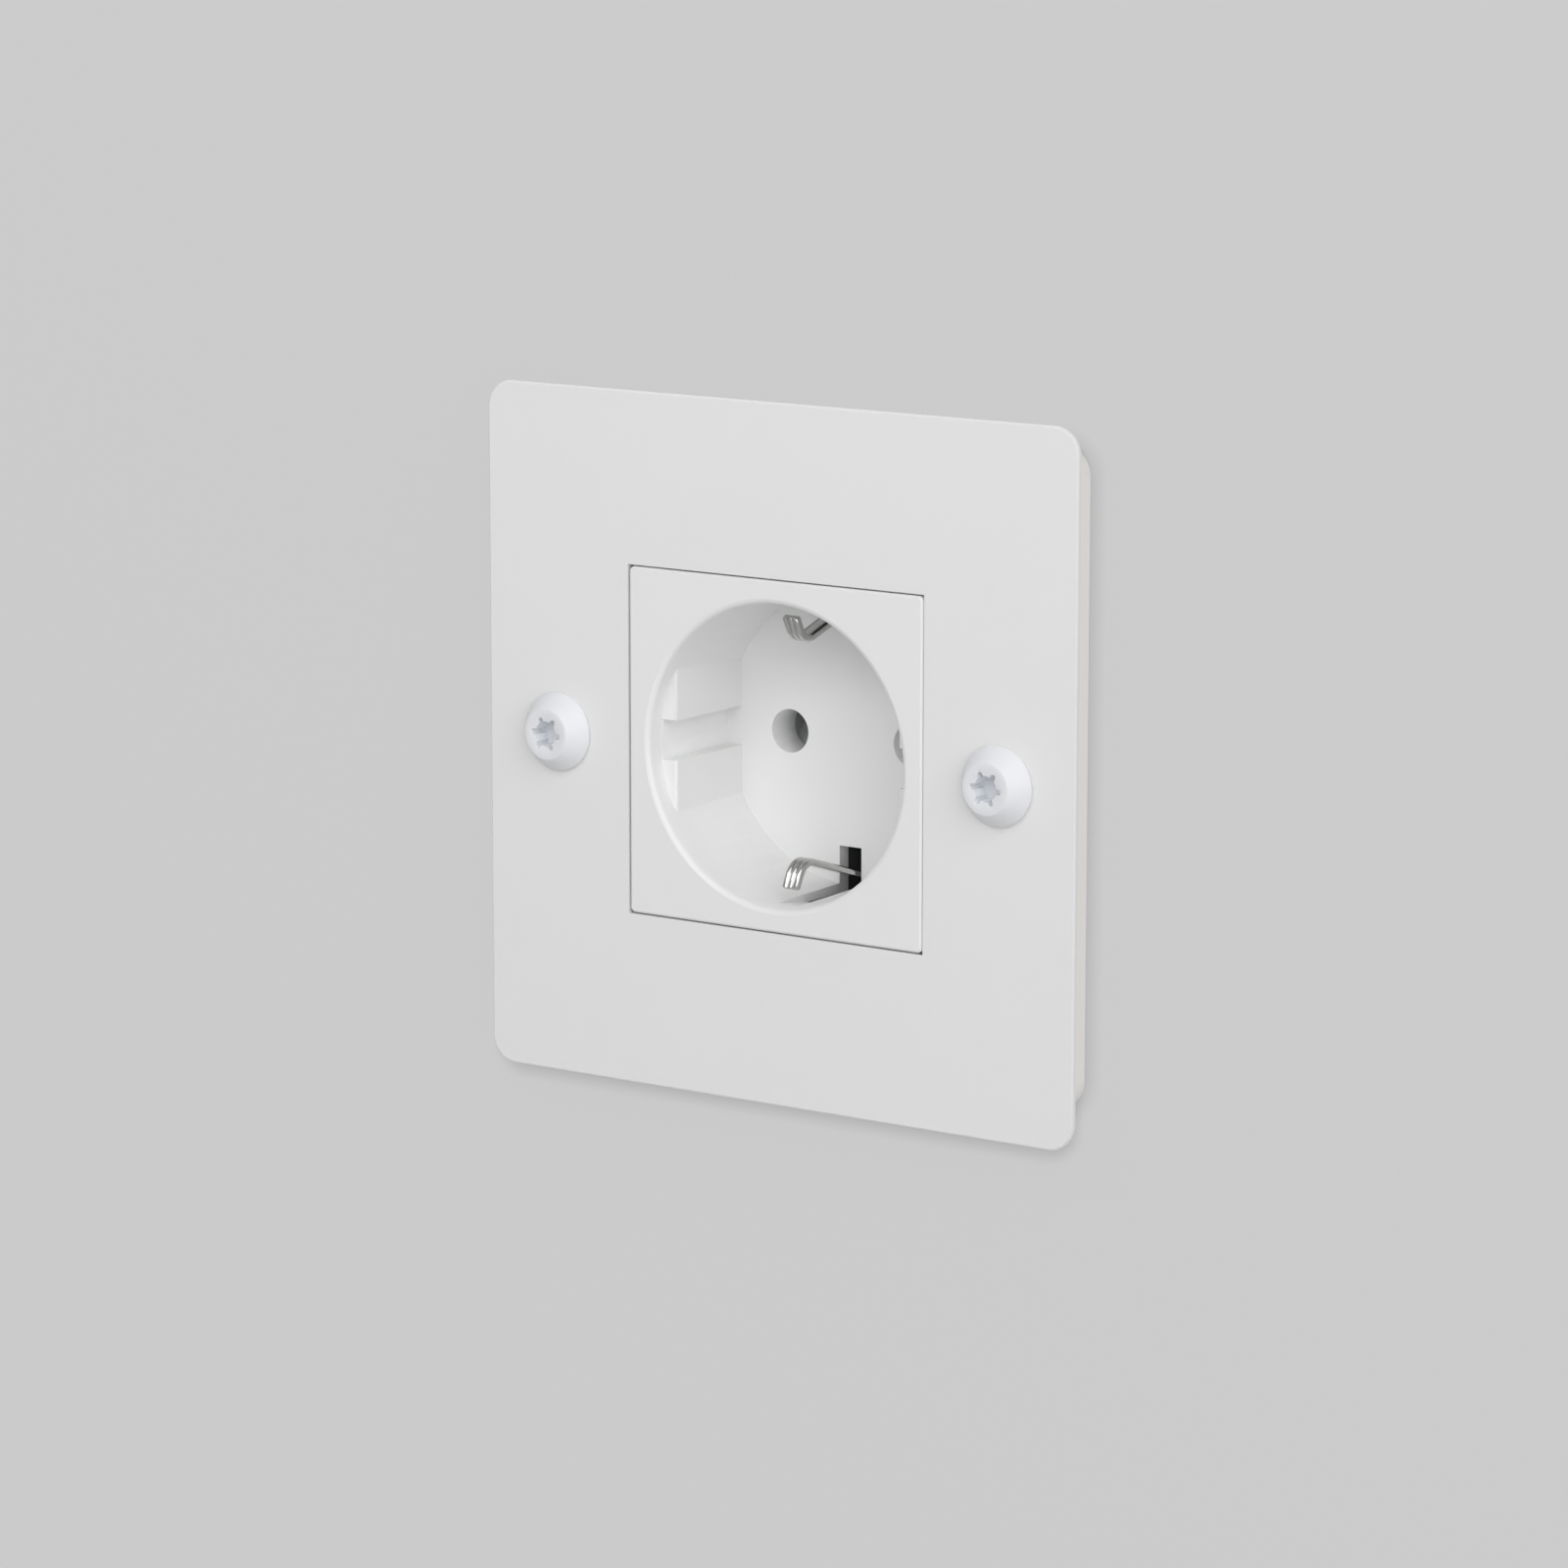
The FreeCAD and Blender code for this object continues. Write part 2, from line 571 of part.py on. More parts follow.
def star_sector(sketch):
    """One sixth of the six-lobe recess: two waist arcs and the lobe between them."""
    half = radians(30)
    tip = s.star_across.value / 2
    waist = s.star_waist.value / 2
    lobe = s.star_lobe_radius.value
    lobe_x = tip - lobe
    # The waist arc's centre lies on the sector's edge, and the arc touches the lobe's circle.
    flank = (waist ** 2 + lobe_x ** 2 - 2 * waist * lobe_x * cos(half) - lobe ** 2) / (
        2 * (lobe + lobe_x * cos(half) - waist))
    far = waist + flank
    geo = {}
    touch = {}
    for side in (-1, 1):
        centre = Vector(far * cos(half), side * far * sin(half), 0)
        to_lobe = Vector(lobe_x, 0, 0) - centre
        touch[side] = centre + to_lobe * (flank / to_lobe.Length)
        waist_point = Vector(waist * cos(half), side * waist * sin(half), 0)
        start = atan2(waist_point.y - centre.y, waist_point.x - centre.x)
        end = atan2(touch[side].y - centre.y, touch[side].x - centre.x)
        arc = Part.Circle(centre, UPWARDS, flank)
        first, last = (end, start) if side < 0 else (start, end)
        if last < first:
            last += 2 * pi
        geo[side] = sketch.addGeometry(Part.ArcOfCircle(arc, first, last), False)
        geo["edge", side] = sketch.addGeometry(Part.LineSegment(Vector(0, 0, 0), waist_point), False)
    reach = atan2(touch[1].y, touch[1].x - lobe_x)
    round_tip = Part.Circle(Vector(lobe_x, 0, 0), UPWARDS, lobe)
    geo["lobe"] = sketch.addGeometry(Part.ArcOfCircle(round_tip, -reach, reach), False)
    lobe_geo = geo["lobe"]
    fix_point(sketch, lobe_geo, 3, s.star_across / 2 - s.star_lobe_radius, 0)
    dimension(sketch, "Radius", s.star_lobe_radius, lobe_geo)
    for side in (-1, 1):
        edge, arc = geo["edge", side], geo[side]
        waist_end, lobe_end = (2, 1) if side < 0 else (1, 2)
        sketch.addConstraint(Sketcher.Constraint("Coincident", edge, 1, -1, 1))
        sketch.addConstraint(Sketcher.Constraint("Coincident", edge, 2, arc, waist_end))
        sketch.addConstraint(Sketcher.Constraint("PointOnObject", arc, 3, edge))
        sketch.addConstraint(Sketcher.Constraint("Tangent", arc, lobe_end, lobe_geo, 1 if side < 0 else 2))
        dimension(sketch, "Distance", s.star_waist / 2, edge)
        sketch.addConstraint(Sketcher.Constraint("Angle", -1, 1, edge, 1, side * half))


def plate_screw(side, label):
    """Screw with a conical head and a six-lobe recess."""
    body = new_body(label)
    profile = sketch_on(body, "screw_profile", "XY_Plane")
    head_y = front_y - s.head_height
    rim_y = front_y - s.head_rim
    polygon(profile, [
        (0, head_y), (s.head_flat_radius, head_y), (s.head_radius, rim_y), (s.head_radius, front_y),
        (s.plate_screw_radius, front_y), (s.plate_screw_radius, -s.plate_screw_tip), (0, -s.plate_screw_tip)])
    revolve(body, "screw_turned", profile, "Y_Axis")
    recess = front_sketch(body, "star_sector", head_y)
    star_sector(recess)
    sector = pocket(body, "star_cut", recess, s.star_depth)
    turn_pattern(body, "star_cuts", [sector], 6)
    place(body, x=plate_screw_x * side)
    body.Placement.Rotation = FreeCAD.Rotation(Vector(0, 1, 0), 1)
    bind(body, "Placement.Rotation.Angle", s.star_turn)
    return body


def segment(sketch, side, radius, flat):
    """The part of a circle beyond a chord, on the left (-1) or the right (1)."""
    high = sqrt(radius.value ** 2 - flat.value ** 2)
    angle = atan2(high, flat.value)
    middle = 0 if side > 0 else pi
    whole = Part.Circle(MIDDLE, UPWARDS, radius.value)
    arc = sketch.addGeometry(Part.ArcOfCircle(whole, middle - angle, middle + angle), False)
    chord_x = flat.value * side
    chord = sketch.addGeometry(
        Part.LineSegment(Vector(chord_x, high * side, 0), Vector(chord_x, -high * side, 0)), False)
    sketch.addConstraint(Sketcher.Constraint("Coincident", arc, 2, chord, 1))
    sketch.addConstraint(Sketcher.Constraint("Coincident", chord, 2, arc, 1))
    sketch.addConstraint(Sketcher.Constraint("Coincident", arc, 3, -1, 1))
    sketch.addConstraint(Sketcher.Constraint("Vertical", chord))
    dimension(sketch, "Radius", radius, arc)
    dimension(sketch, "DistanceX", flat * side, -1, 1, chord, 1)


def groove_outline(sketch, radius, width):
    """A band across the well whose ends follow the circle of the groove bottoms."""
    half = width.value / 2
    angle = atan2(half, sqrt(radius.value ** 2 - half ** 2))
    whole = Part.Circle(MIDDLE, UPWARDS, radius.value)
    reach = radius.value * cos(angle)
    right = sketch.addGeometry(Part.ArcOfCircle(whole, -angle, angle), False)
    top = sketch.addGeometry(Part.LineSegment(Vector(reach, half, 0), Vector(-reach, half, 0)), False)
    left = sketch.addGeometry(Part.ArcOfCircle(whole, pi - angle, pi + angle), False)
    bottom = sketch.addGeometry(Part.LineSegment(Vector(-reach, -half, 0), Vector(reach, -half, 0)), False)
    geo = [right, top, left, bottom]
    for item, following in zip(geo, geo[1:] + geo[:1]):
        sketch.addConstraint(Sketcher.Constraint("Coincident", item, 2, following, 1))
    for arc in (right, left):
        sketch.addConstraint(Sketcher.Constraint("Coincident", arc, 3, -1, 1))
        dimension(sketch, "Radius", radius, arc)
    for line in (top, bottom):
        sketch.addConstraint(Sketcher.Constraint("Horizontal", line))
    dimension(sketch, "DistanceY", width / 2, -1, 1, top, 1)
    dimension(sketch, "DistanceY", -width / 2, -1, 1, bottom, 1)


def four_bosses(sketch, radius):
    for side in (-1, 1):
        for up in (-1, 1):
            circle(sketch, s.boss_x * side, boss_z * up, radius)


def socket_insert():
    """White moulding: square face, plug well, collars, skirt, stop ribs and latches."""
    body = new_body("socket_insert")
    cup_radius = well_radius + s.well_wall

    face = front_sketch(body, "face_outline", front_y)
    rounded_rectangle(face, s.insert_size, s.insert_size, s.insert_corner)
    pad(body, "face", face, s.face_thickness, reverse=True)
    cup = front_sketch(body, "cup_outline", front_y)
    circle(cup, 0, 0, cup_radius)
    pad(body, "cup", cup, s.well_depth + s.floor_thickness, reverse=True)
    skirt = front_sketch(body, "skirt_outline", front_y + s.face_thickness / 2)
    rounded_rectangle(skirt, body_size, body_size, s.body_corner)
    inner_size = body_size - s.skirt_wall * 2
    rounded_rectangle(skirt, inner_size, inner_size, s.body_corner - s.skirt_wall)
    pad(body, "skirt", skirt, skirt_end_y - front_y - s.face_thickness / 2, reverse=True)

    # The well is round to the ledge, then narrows a little and has two side flats with a groove.
    # Its rim is rounded in three steps.
    ledge_y = front_y + s.ledge_depth
    shallow, steep = s.well_rim * (1 - cos(pi / 6)), s.well_rim * (1 - sin(pi / 6))
    well = sketch_on(body, "well_profile", "XY_Plane")
    polygon(well, [
        (0, front_y), (well_radius + s.well_rim, front_y), (well_radius + steep, front_y + shallow),
        (well_radius + shallow, front_y + steep), (well_radius, front_y + s.well_rim), (well_radius, ledge_y),
        (well_radius - s.well_taper, floor_y), (0, floor_y)])
    turned_cut(body, "well", well, "Y_Axis")
    flats = front_sketch(body, "flat_outline", ledge_y)
    for side in (-1, 1):
        segment(flats, side, well_radius + s.well_wall / 2, flat_place)
    pad(body, "side_flats", flats, s.well_depth - s.ledge_depth, reverse=True)
    groove = front_sketch(body, "groove_outline", ledge_y)
    groove_outline(groove, well_radius - s.groove_rise, s.groove_width)
    pocket(body, "guide_grooves", groove, s.well_depth - s.ledge_depth)

    collars = front_sketch(body, "collar_outline", floor_back_y)
    holes = front_sketch(body, "pin_holes", floor_y)
    for side in (-1, 1):
        circle(collars, pin_x * side, 0, s.pin_hole_radius + s.collar_wall)
        circle(holes, pin_x * side, 0, s.pin_hole_radius)
    pad(body, "collars", collars, s.collar_length, reverse=True)
    pocket(body, "pin_hole_pair", holes, s.floor_thickness + s.collar_length)

    bosses = front_sketch(body, "boss_outline", floor_back_y)
    four_bosses(bosses, s.boss_radius)
    pad(body, "bosses", bosses, s.boss_length, reverse=True)
    bores = front_sketch(body, "boss_bores", floor_back_y + s.boss_length)
    four_bosses(bores, s.base_screw_radius)
    pocket(body, "boss_holes", bores, s.boss_length, reverse=True)

    # Each clip slot is led in by a ramp in the well wall and runs on through the floor.
    slots = sketch_on(body, "clip_slots", "YZ_Plane")
    ramp_y = front_y + s.clip_ramp_depth
    slot_y = front_y + s.clip_slot_depth
    for up in (-1, 1):
        inner_z = (well_radius - s.clip_slot_inset) * up
        outer_z = (cup_radius + s.well_wall) * up
        polygon(slots, [
            (ramp_y, inner_z), (ramp_y, (well_radius - s.clip_ramp_start) * up),
            (slot_y, (well_radius + s.clip_ramp_sink) * up), (slot_y, outer_z),
            (floor_back_y + s.floor_thickness, outer_z), (floor_back_y + s.floor_thickness, inner_z)])
    pocket(body, "clip_slot_pair", slots, s.clip_slot_width, both=True)

    stops = front_sketch(body, "stop_outline", bridge_front_y)
    for side in (-1, 1):
        middle = s.stop_place * side
        rectangle(stops, middle - s.stop_width / 2, middle + s.stop_width / 2,
                  body_half - s.skirt_wall / 2, body_half + s.stop_height)
    stop = pad(body, "stops", stops, bridge_front_y - front_y - s.face_thickness)
    turn_pattern(body, "stop_sides", [stop], 4)

    # Latch tabs at both sides, each with a hook behind the bridge.
    hook_y = s.latch_play
    latches = []
    inner_x, catch_x = body_half - s.skirt_wall, body_half + s.latch_catch
    root_y, tip_y = skirt_end_y - s.skirt_wall, skirt_end_y + s.latch_length
    for up, name in ((1, "upper"), (-1, "lower")):
        tab = sketch_on(body, name + "_latch_profile", "XY_Plane", s.latch_place * up)
        polygon(tab, [
            (inner_x, root_y), (body_half, root_y), (body_half, hook_y), (catch_x, hook_y),
            (catch_x, hook_y + s.latch_catch), (body_half, tip_y), (inner_x, tip_y)])
        latches.append(pad(body, name + "_latch", tab, s.latch_width, both=True))
    mirror(body, "left_latches", latches, "YZ_Plane")

    front = front_y.value
    ledge = front + s.ledge_depth.value
    flat = flat_place.value
    dress("Fillet", body, "flat_rounding", s.flat_edge,
          lambda edge: lies_at(edge, "Y", ledge) and (lies_at(edge, "X", flat) or lies_at(edge, "X", -flat)))
    face_half = s.insert_size.value / 2
    dress("Chamfer", body, "face_chamfer", s.insert_edge,
          lambda edge: lies_at(edge, "Y", front) and max(
              abs(edge.BoundBox.Center.x), abs(edge.BoundBox.Center.z)) > face_half - s.insert_corner.value)
    return body


def rear_base():
    """Deep dark moulding with the shutter chamber, contact chambers and screw columns."""
    body = new_body("rear_base")
    outline = front_sketch(body, "base_outline", skirt_end_y)
    rounded_rectangle(outline, body_size, body_size, s.body_corner)
    pad(body, "base_block", outline, base_back_y - skirt_end_y, reverse=True)
    back = base_back_y.value
    dress("Chamfer", body, "base_back_edge", s.base_edge, lambda edge: lies_at(edge, "Y", back))

    cup = front_sketch(body, "cup_seat_outline", skirt_end_y)
    circle(cup, 0, 0, well_radius + s.well_wall + s.fit_gap)
    pocket(body, "cup_seat", cup, floor_back_y - skirt_end_y)
    chamber = front_sketch(body, "shutter_chamber_outline", floor_back_y)
    half_width = s.shutter_width / 2 + s.shutter_play
    rectangle(chamber, -half_width, half_width, -chamber_low, chamber_high)
    pocket(body, "shutter_chamber", chamber, inner_plate_back_y - floor_back_y)

    contacts = front_sketch(body, "contact_chamber_outline", inner_plate_back_y)
    block_high = block_low_z + s.block_height + s.chamber_gap
    for side in (-1, 1):
        rectangle(contacts, (block_inner_x - s.chamber_gap) * side, contact_outer_x * side,
                  -s.contact_width / 2 - s.chamber_gap, block_high)
    pocket(body, "contact_chambers", contacts, block_back_y + s.chamber_gap - inner_plate_back_y)
    earth = front_sketch(body, "earth_chamber_outline", inner_plate_back_y)
    earth_half = s.block_width / 2 + s.chamber_gap
    rectangle(earth, -earth_half, earth_half, earth_low_z - s.chamber_gap, earth_high_z + s.chamber_gap)
    pocket(body, "earth_chamber", earth, earth_back_y + s.chamber_gap - inner_plate_back_y)
    channel = front_sketch(body, "strap_channel_outline", floor_back_y)
    channel_high = strap_leg + s.strap_rib + s.strap_bend
    rectangle(channel, -s.strap_channel_width / 2, s.strap_channel_width / 2, -channel_high, channel_high)
    pocket(body, "strap_channel", channel, strap_y + s.strap_rib + s.chamber_gap - floor_back_y)

    sockets = front_sketch(body, "boss_socket_outline", floor_back_y)
    four_bosses(sockets, s.boss_radius + s.fit_gap)
    pocket(body, "boss_sockets", sockets, s.boss_length + s.fit_gap)
    shanks = front_sketch(body, "screw_hole_outline", boss_socket_y)
    four_bosses(shanks, s.base_screw_radius + s.fit_gap)
    pocket(body, "screw_holes", shanks, s.base_screw_web)
    columns = front_sketch(body, "screw_column_outline", base_back_y)
    four_bosses(columns, s.base_screw_head + s.fit_gap * 2)
    pocket(body, "screw_columns", columns, base_back_y - screw_seat_y, reverse=True)

    # Shallow troughs lead the wires to their entries from the sides and from below.
    troughs = front_sketch(body, "trough_outline", base_back_y)
    half = s.trough_width / 2
    for side in (-1, 1):
        rectangle(troughs, (block_middle_x - half) * side, (body_half + s.fit_gap) * side,
                  block_middle_z - half, block_middle_z + half)
    rectangle(troughs, -half, half, -body_half - s.fit_gap, half - s.earth_block_place)
    pocket(body, "wire_troughs", troughs, s.trough_depth, reverse=True)

    # Hollows in the back keep the moulding's walls even.
    low_z = s.base_screw_head + s.fit_gap * 2 + s.core_wall - boss_z
    high_z = -s.contact_width / 2 - s.chamber_gap - s.core_wall
    inner_x, outer_x = earth_half + s.core_wall, body_half - s.core_side_wall
    rib_x = (inner_x + outer_x) / 2
    low_cores = front_sketch(body, "low_core_outline", base_back_y)
    for side in (-1, 1):
        for left, right in ((inner_x, rib_x - s.core_rib / 2), (rib_x + s.core_rib / 2, outer_x)):
            rectangle(low_cores, left * side, right * side, low_z, high_z)
    pocket(body, "low_cores", low_cores, base_back_y - inner_plate_back_y - s.core_floor, reverse=True)
    middle_core = front_sketch(body, "middle_core_outline", base_back_y)
    core_half = block_inner_x - s.chamber_gap - s.core_wall
    rectangle(middle_core, -core_half, core_half, s.core_wall, block_low_z + s.block_height)
    core_front_y = strap_y + s.strap_rib + s.chamber_gap + s.core_floor
    pocket(body, "middle_core", middle_core, base_back_y - core_front_y, reverse=True)

    entries = front_sketch(body, "wire_entry_outline", base_back_y)
    circle(entries, 0, -s.earth_block_place, s.wire_entry_radius)
    for side in (-1, 1):
        circle(entries, block_middle_x * side, block_middle_z, s.wire_entry_radius)
    pocket(body, "wire_entries", entries, base_back_y - block_back_y, reverse=True)
    side_access = sketch_on(body, "side_access_outline", "YZ_Plane", body_half)
    circle(side_access, block_middle_y, block_middle_z, s.access_radius)
    access = pocket(body, "side_access", side_access, body_half - contact_outer_x)
    mirror(body, "side_access_left", [access], "YZ_Plane")
    low_access = sketch_on(body, "low_access_outline", "XY_Plane", -body_half)
    circle(low_access, 0, earth_middle_y, s.access_radius)
    pocket(body, "low_access", low_access, body_half + earth_low_z, reverse=True)

    notches = front_sketch(body, "latch_notch_outline", skirt_end_y)
    notch_half = s.latch_width / 2 + s.fit_gap
    for side in (-1, 1):
        for up in (-1, 1):
            middle = s.latch_place * up
            rectangle(notches, (body_half - s.skirt_wall - s.fit_gap) * side, (body_half + s.fit_gap) * side,
                      middle - notch_half, middle + notch_half)
    pocket(body, "latch_notches", notches, s.latch_length + s.fit_gap)
    return body


def safety_shutter():
    """Slider with two ramps and windows, which a plug's pins push down together."""
    body = new_body("safety_shutter")
    outline = front_sketch(body, "shutter_outline", shutter_front_y)
    rectangle(outline, -s.shutter_width / 2, s.shutter_width / 2, -s.shutter_low, shutter_high)
    pad(body, "shutter_block", outline, s.shutter_thickness, reverse=True)
    windows = []
    for side, name in ((-1, "left"), (1, "right")):
        window = sketch_on(body, name + "_window_profile", "YZ_Plane", pin_x * side)
        polygon(window, [
            (shutter_front_y, -s.ramp_low), (shutter_back_y, s.ramp_high),
            (shutter_back_y, shutter_high - s.window_bar), (shutter_front_y, shutter_high - s.window_bar)])
        windows.append(pocket(body, name + "_window", window, s.window_width, both=True))
    slot_sketch = front_sketch(body, "spring_slot_outline", shutter_front_y)
    rectangle(slot_sketch, -s.spring_slot_width / 2, s.spring_slot_width / 2,
              -s.shutter_low, shutter_high - s.spring_bar)
    pocket(body, "spring_slot", slot_sketch, s.shutter_thickness)
    pin = sketch_on(body, "spring_pin_outline", "XY_Plane", shutter_high - s.spring_bar)
    circle(pin, 0, shutter_middle_y, s.spring_pin_radius)
    pad(body, "spring_pin", pin, s.spring_pin_length, reverse=True)
    return body


def inner_plate():
    """Insulating plate behind the shutter, with the peg that carries the spring."""
    body = new_body("inner_plate")
    outline = front_sketch(body, "inner_plate_outline", inner_plate_y)
    half = s.shutter_width / 2
    rectangle(outline, -half, half, s.fit_gap - chamber_low, chamber_high - s.fit_gap)
    pad(body, "inner_plate_sheet", outline, s.inner_plate_thickness, reverse=True)
    holes = front_sketch(body, "inner_plate_holes", inner_plate_y)
    for side in (-1, 1):
        circle(holes, pin_x * side, 0, s.pin_hole_radius + s.fit_gap)
    pocket(body, "inner_plate_pin_holes", holes, s.inner_plate_thickness)
    peg = front_sketch(body, "peg_outline", inner_plate_y)
    rectangle(peg, -s.peg_width / 2, s.peg_width / 2, -peg_high - s.peg_thickness, -peg_high)
    pad(body, "peg", peg, s.shutter_thickness)
    pin = sketch_on(body, "peg_pin_outline", "XY_Plane", -peg_high)
    circle(pin, 0, shutter_middle_y, s.spring_pin_radius)
    pad(body, "peg_pin", pin, s.spring_pin_length)
    return body


def shutter_spring():
    """Coil spring between the peg and the shutter's bar, in twelve straight runs to a turn."""
    turns, runs = 6, 12
    low = (s.spring_wire - peg_high).value
    rise = (shutter_high - s.spring_bar - s.spring_wire).value - low
    radius, middle = s.spring_radius.value, shutter_middle_y.value
    points = []
    for step in range(turns * runs + 1):
        turn = 2 * pi * step / runs
        points.append(Vector(
            radius * cos(turn), middle + radius * sin(turn), low + rise * step / (turns * runs)))
    route = doc.addObject("Part::Polygon", "spring_route")
    route.Nodes = points
    wire = doc.addObject("Part::RegularPolygon", "spring_section")
    wire.Polygon = 6
    bind(wire, "Circumradius", s.spring_wire)
    wire.Placement = FreeCAD.Placement(points[0], FreeCAD.Rotation(UPWARDS, points[1] - points[0]))
    coil = doc.addObject("Part::Sweep", "shutter_spring")
    coil.Label = "shutter_spring"
    coil.Sections = [wire]
    coil.Spine = (route, [])
    coil.Solid = True
    coil.Transition = "Right corner"
    doc.recompute()
    return coil


def pin_contact(side, label):
    """Bent brass strip: a straight leaf with a terminal flag, a back, and a sprung inner leaf."""
    body = new_body(label)
    leaves = sketch_on(body, "leaf_profile", "XY_Plane")
    mouth, grip, back, thick = s.contact_mouth, s.contact_grip, s.contact_back, s.contact_sheet
    front, end = contact_front_y, contact_back_y
    waist = front + s.contact_waist_depth
    inside = [(mouth, front), (grip, waist), (grip, end - thick),
              (-back, end - thick), (-grip, waist), (-mouth, front)]
    outside = [(-mouth - thick, front), (-grip - thick, waist), (-back - thick, end),
               (grip + thick, end), (grip + thick, waist), (mouth + thick, front)]
    polygon(leaves, [((pin_x + x) * side, y) for x, y in inside + outside])
    pad(body, "leaves", leaves, s.contact_width, both=True)
    flag = sketch_on(body, "flag_outline", "YZ_Plane", (pin_x + grip) * side)
    rectangle(flag, block_front_y, contact_back_y, 0, block_low_z + s.block_height)
    pad(body, "flag", flag, thick, reverse=side < 0)
    hole = sketch_on(body, "flag_hole_outline", "YZ_Plane", (pin_x + grip) * side)
    circle(hole, block_middle_y, block_middle_z, s.clamp_screw_radius + s.clamp_hole_gap)
    pocket(body, "flag_hole", hole, thick, reverse=side > 0)
    return body


def pin_terminal(side, label):
    """Brass block with a wire hole from the back and a tapped hole from the side."""
    body = new_body(label)
    outline = front_sketch(body, "block_outline", block_front_y)
    rectangle(outline, block_inner_x * side, block_outer_x * side, block_low_z, block_low_z + s.block_height)
    pad(body, "block", outline, s.block_length, reverse=True)
    wire = front_sketch(body, "wire_hole_outline", block_back_y)
    circle(wire, block_middle_x * side, block_middle_z, s.wire_radius)
    pocket(body, "wire_hole", wire, s.wire_length, reverse=True)
    tapped = sketch_on(body, "tapped_hole_outline", "YZ_Plane", block_outer_x * side)
    circle(tapped, block_middle_y, block_middle_z, s.clamp_screw_radius)
    pocket(body, "tapped_hole", tapped, s.block_width / 2, reverse=side < 0)
    return body


def earth_terminal():
    """Brass block that nests on the earth strap's cross run."""
    body = new_body("earth_terminal")
    outline = front_sketch(body, "earth_block_outline", earth_front_y)
    rectangle(outline, -s.block_width / 2, s.block_width / 2, earth_low_z, earth_high_z)
    pad(body, "earth_block", outline, earth_back_y - earth_front_y, reverse=True)
    nest = front_sketch(body, "strap_nest_outline", earth_front_y)
    nest_half = s.strap_rib_pitch + s.strap_rib + s.fit_gap
    rectangle(nest, -nest_half, nest_half, earth_low_z, earth_high_z)
    pocket(body, "strap_nest", nest, s.strap_rib * 2)
    wire = front_sketch(body, "earth_wire_outline", earth_back_y)
    circle(wire, 0, -s.earth_block_place, s.wire_radius)
    pocket(body, "earth_wire_hole", wire, s.wire_length, reverse=True)
    tapped = sketch_on(body, "earth_tapped_outline", "XY_Plane", earth_low_z)
    circle(tapped, 0, earth_middle_y, s.clamp_screw_radius)
    pocket(body, "earth_tapped_hole", tapped, -earth_low_z - s.earth_block_place, reverse=True)
    return body


def clamp_screw(label, seat, reach, axis, turn):
    """Terminal screw, turned along its own Y axis, head outermost, then laid along its hole."""
    body = new_body(label)
    profile = sketch_on(body, "clamp_profile", "XY_Plane")
    head = s.clamp_head_radius
    polygon(profile, [
        (0, -s.clamp_head_height), (head, -s.clamp_head_height), (head, 0),
        (s.clamp_screw_radius, 0), (s.clamp_screw_radius, reach), (0, reach)])
    revolve(body, "clamp_turned", profile, "Y_Axis")
    driver = front_sketch(body, "driver_slot_outline", -s.clamp_head_height)
    rectangle(driver, -head, head, -s.clamp_slot_width / 2, s.clamp_slot_width / 2)
    pocket(body, "driver_slot", driver, s.clamp_head_height / 2)
    body.Placement.Rotation = FreeCAD.Rotation(axis, turn)
    place(body, *seat)
    return body


def base_screw(side, up, label):
    """Screw that holds the rear base to a boss of the insert."""
    body = new_body(label)
    profile = sketch_on(body, "base_screw_profile", "XY_Plane")
    head = s.base_screw_head
    head_y, tip_y = s.base_screw_head_height, floor_back_y + s.fit_gap - screw_seat_y
    polygon(profile, [
        (0, head_y), (head, head_y), (head, 0),
        (s.base_screw_radius, 0), (s.base_screw_radius, tip_y), (0, tip_y)])
    revolve(body, "base_screw_turned", profile, "Y_Axis")
    place(body, s.boss_x * side, screw_seat_y, boss_z * up)
    return body


def tangent_path(sketch, points, radii):
    """Straight runs through the given corners, joined by tangent arcs."""
    corners = [Vector(as_size(x).value, as_size(y).value, 0) for x, y in points]
    starts, ends, arcs = [corners[0]], [], []
    for before, corner, after, radius in zip(corners, corners[1:], corners[2:], radii):
        towards = (before - corner).normalize()
        onwards = (after - corner).normalize()
        half = towards.getAngle(onwards) / 2
        leave = radius.value / tan(half)
        first = corner + towards * leave
        last = corner + onwards * leave
        middle = corner + (towards + onwards).normalize() * (radius.value / sin(half))
        arcs.append((first, last, middle, radius))
        ends.append(first)
        starts.append(last)
    ends.append(corners[-1])
    lines = [sketch.addGeometry(Part.LineSegment(a, b), False) for a, b in zip(starts, ends)]
    fix_point(sketch, lines[0], 1, *points[0])
    fix_point(sketch, lines[-1], 2, *points[-1])
    for number, (first, last, middle, radius) in enumerate(arcs):
        from_middle = atan2(first.y - middle.y, first.x - middle.x)
        to_middle = atan2(last.y - middle.y, last.x - middle.x)
        turn = (to_middle - from_middle + pi) % (2 * pi) - pi
        forwards = turn > 0
        low = from_middle if forwards else to_middle
        whole = Part.Circle(middle, UPWARDS, radius.value)
        arc = sketch.addGeometry(Part.ArcOfCircle(whole, low, low + abs(turn)), False)
        entry, leave = (1, 2) if forwards else (2, 1)
        sketch.addConstraint(Sketcher.Constraint("Tangent", lines[number], 2, arc, entry))
        sketch.addConstraint(Sketcher.Constraint("Tangent", arc, leave, lines[number + 1], 1))
        dimension(sketch, "Radius", radius, arc)
        corner = sketch.addGeometry(Part.Point(corners[number + 1]), True)
        fix_point(sketch, corner, 1, *points[number + 1])
        sketch.addConstraint(Sketcher.Constraint("PointOnObject", corner, 1, lines[number]))
        sketch.addConstraint(Sketcher.Constraint("PointOnObject", corner, 1, lines[number + 1]))


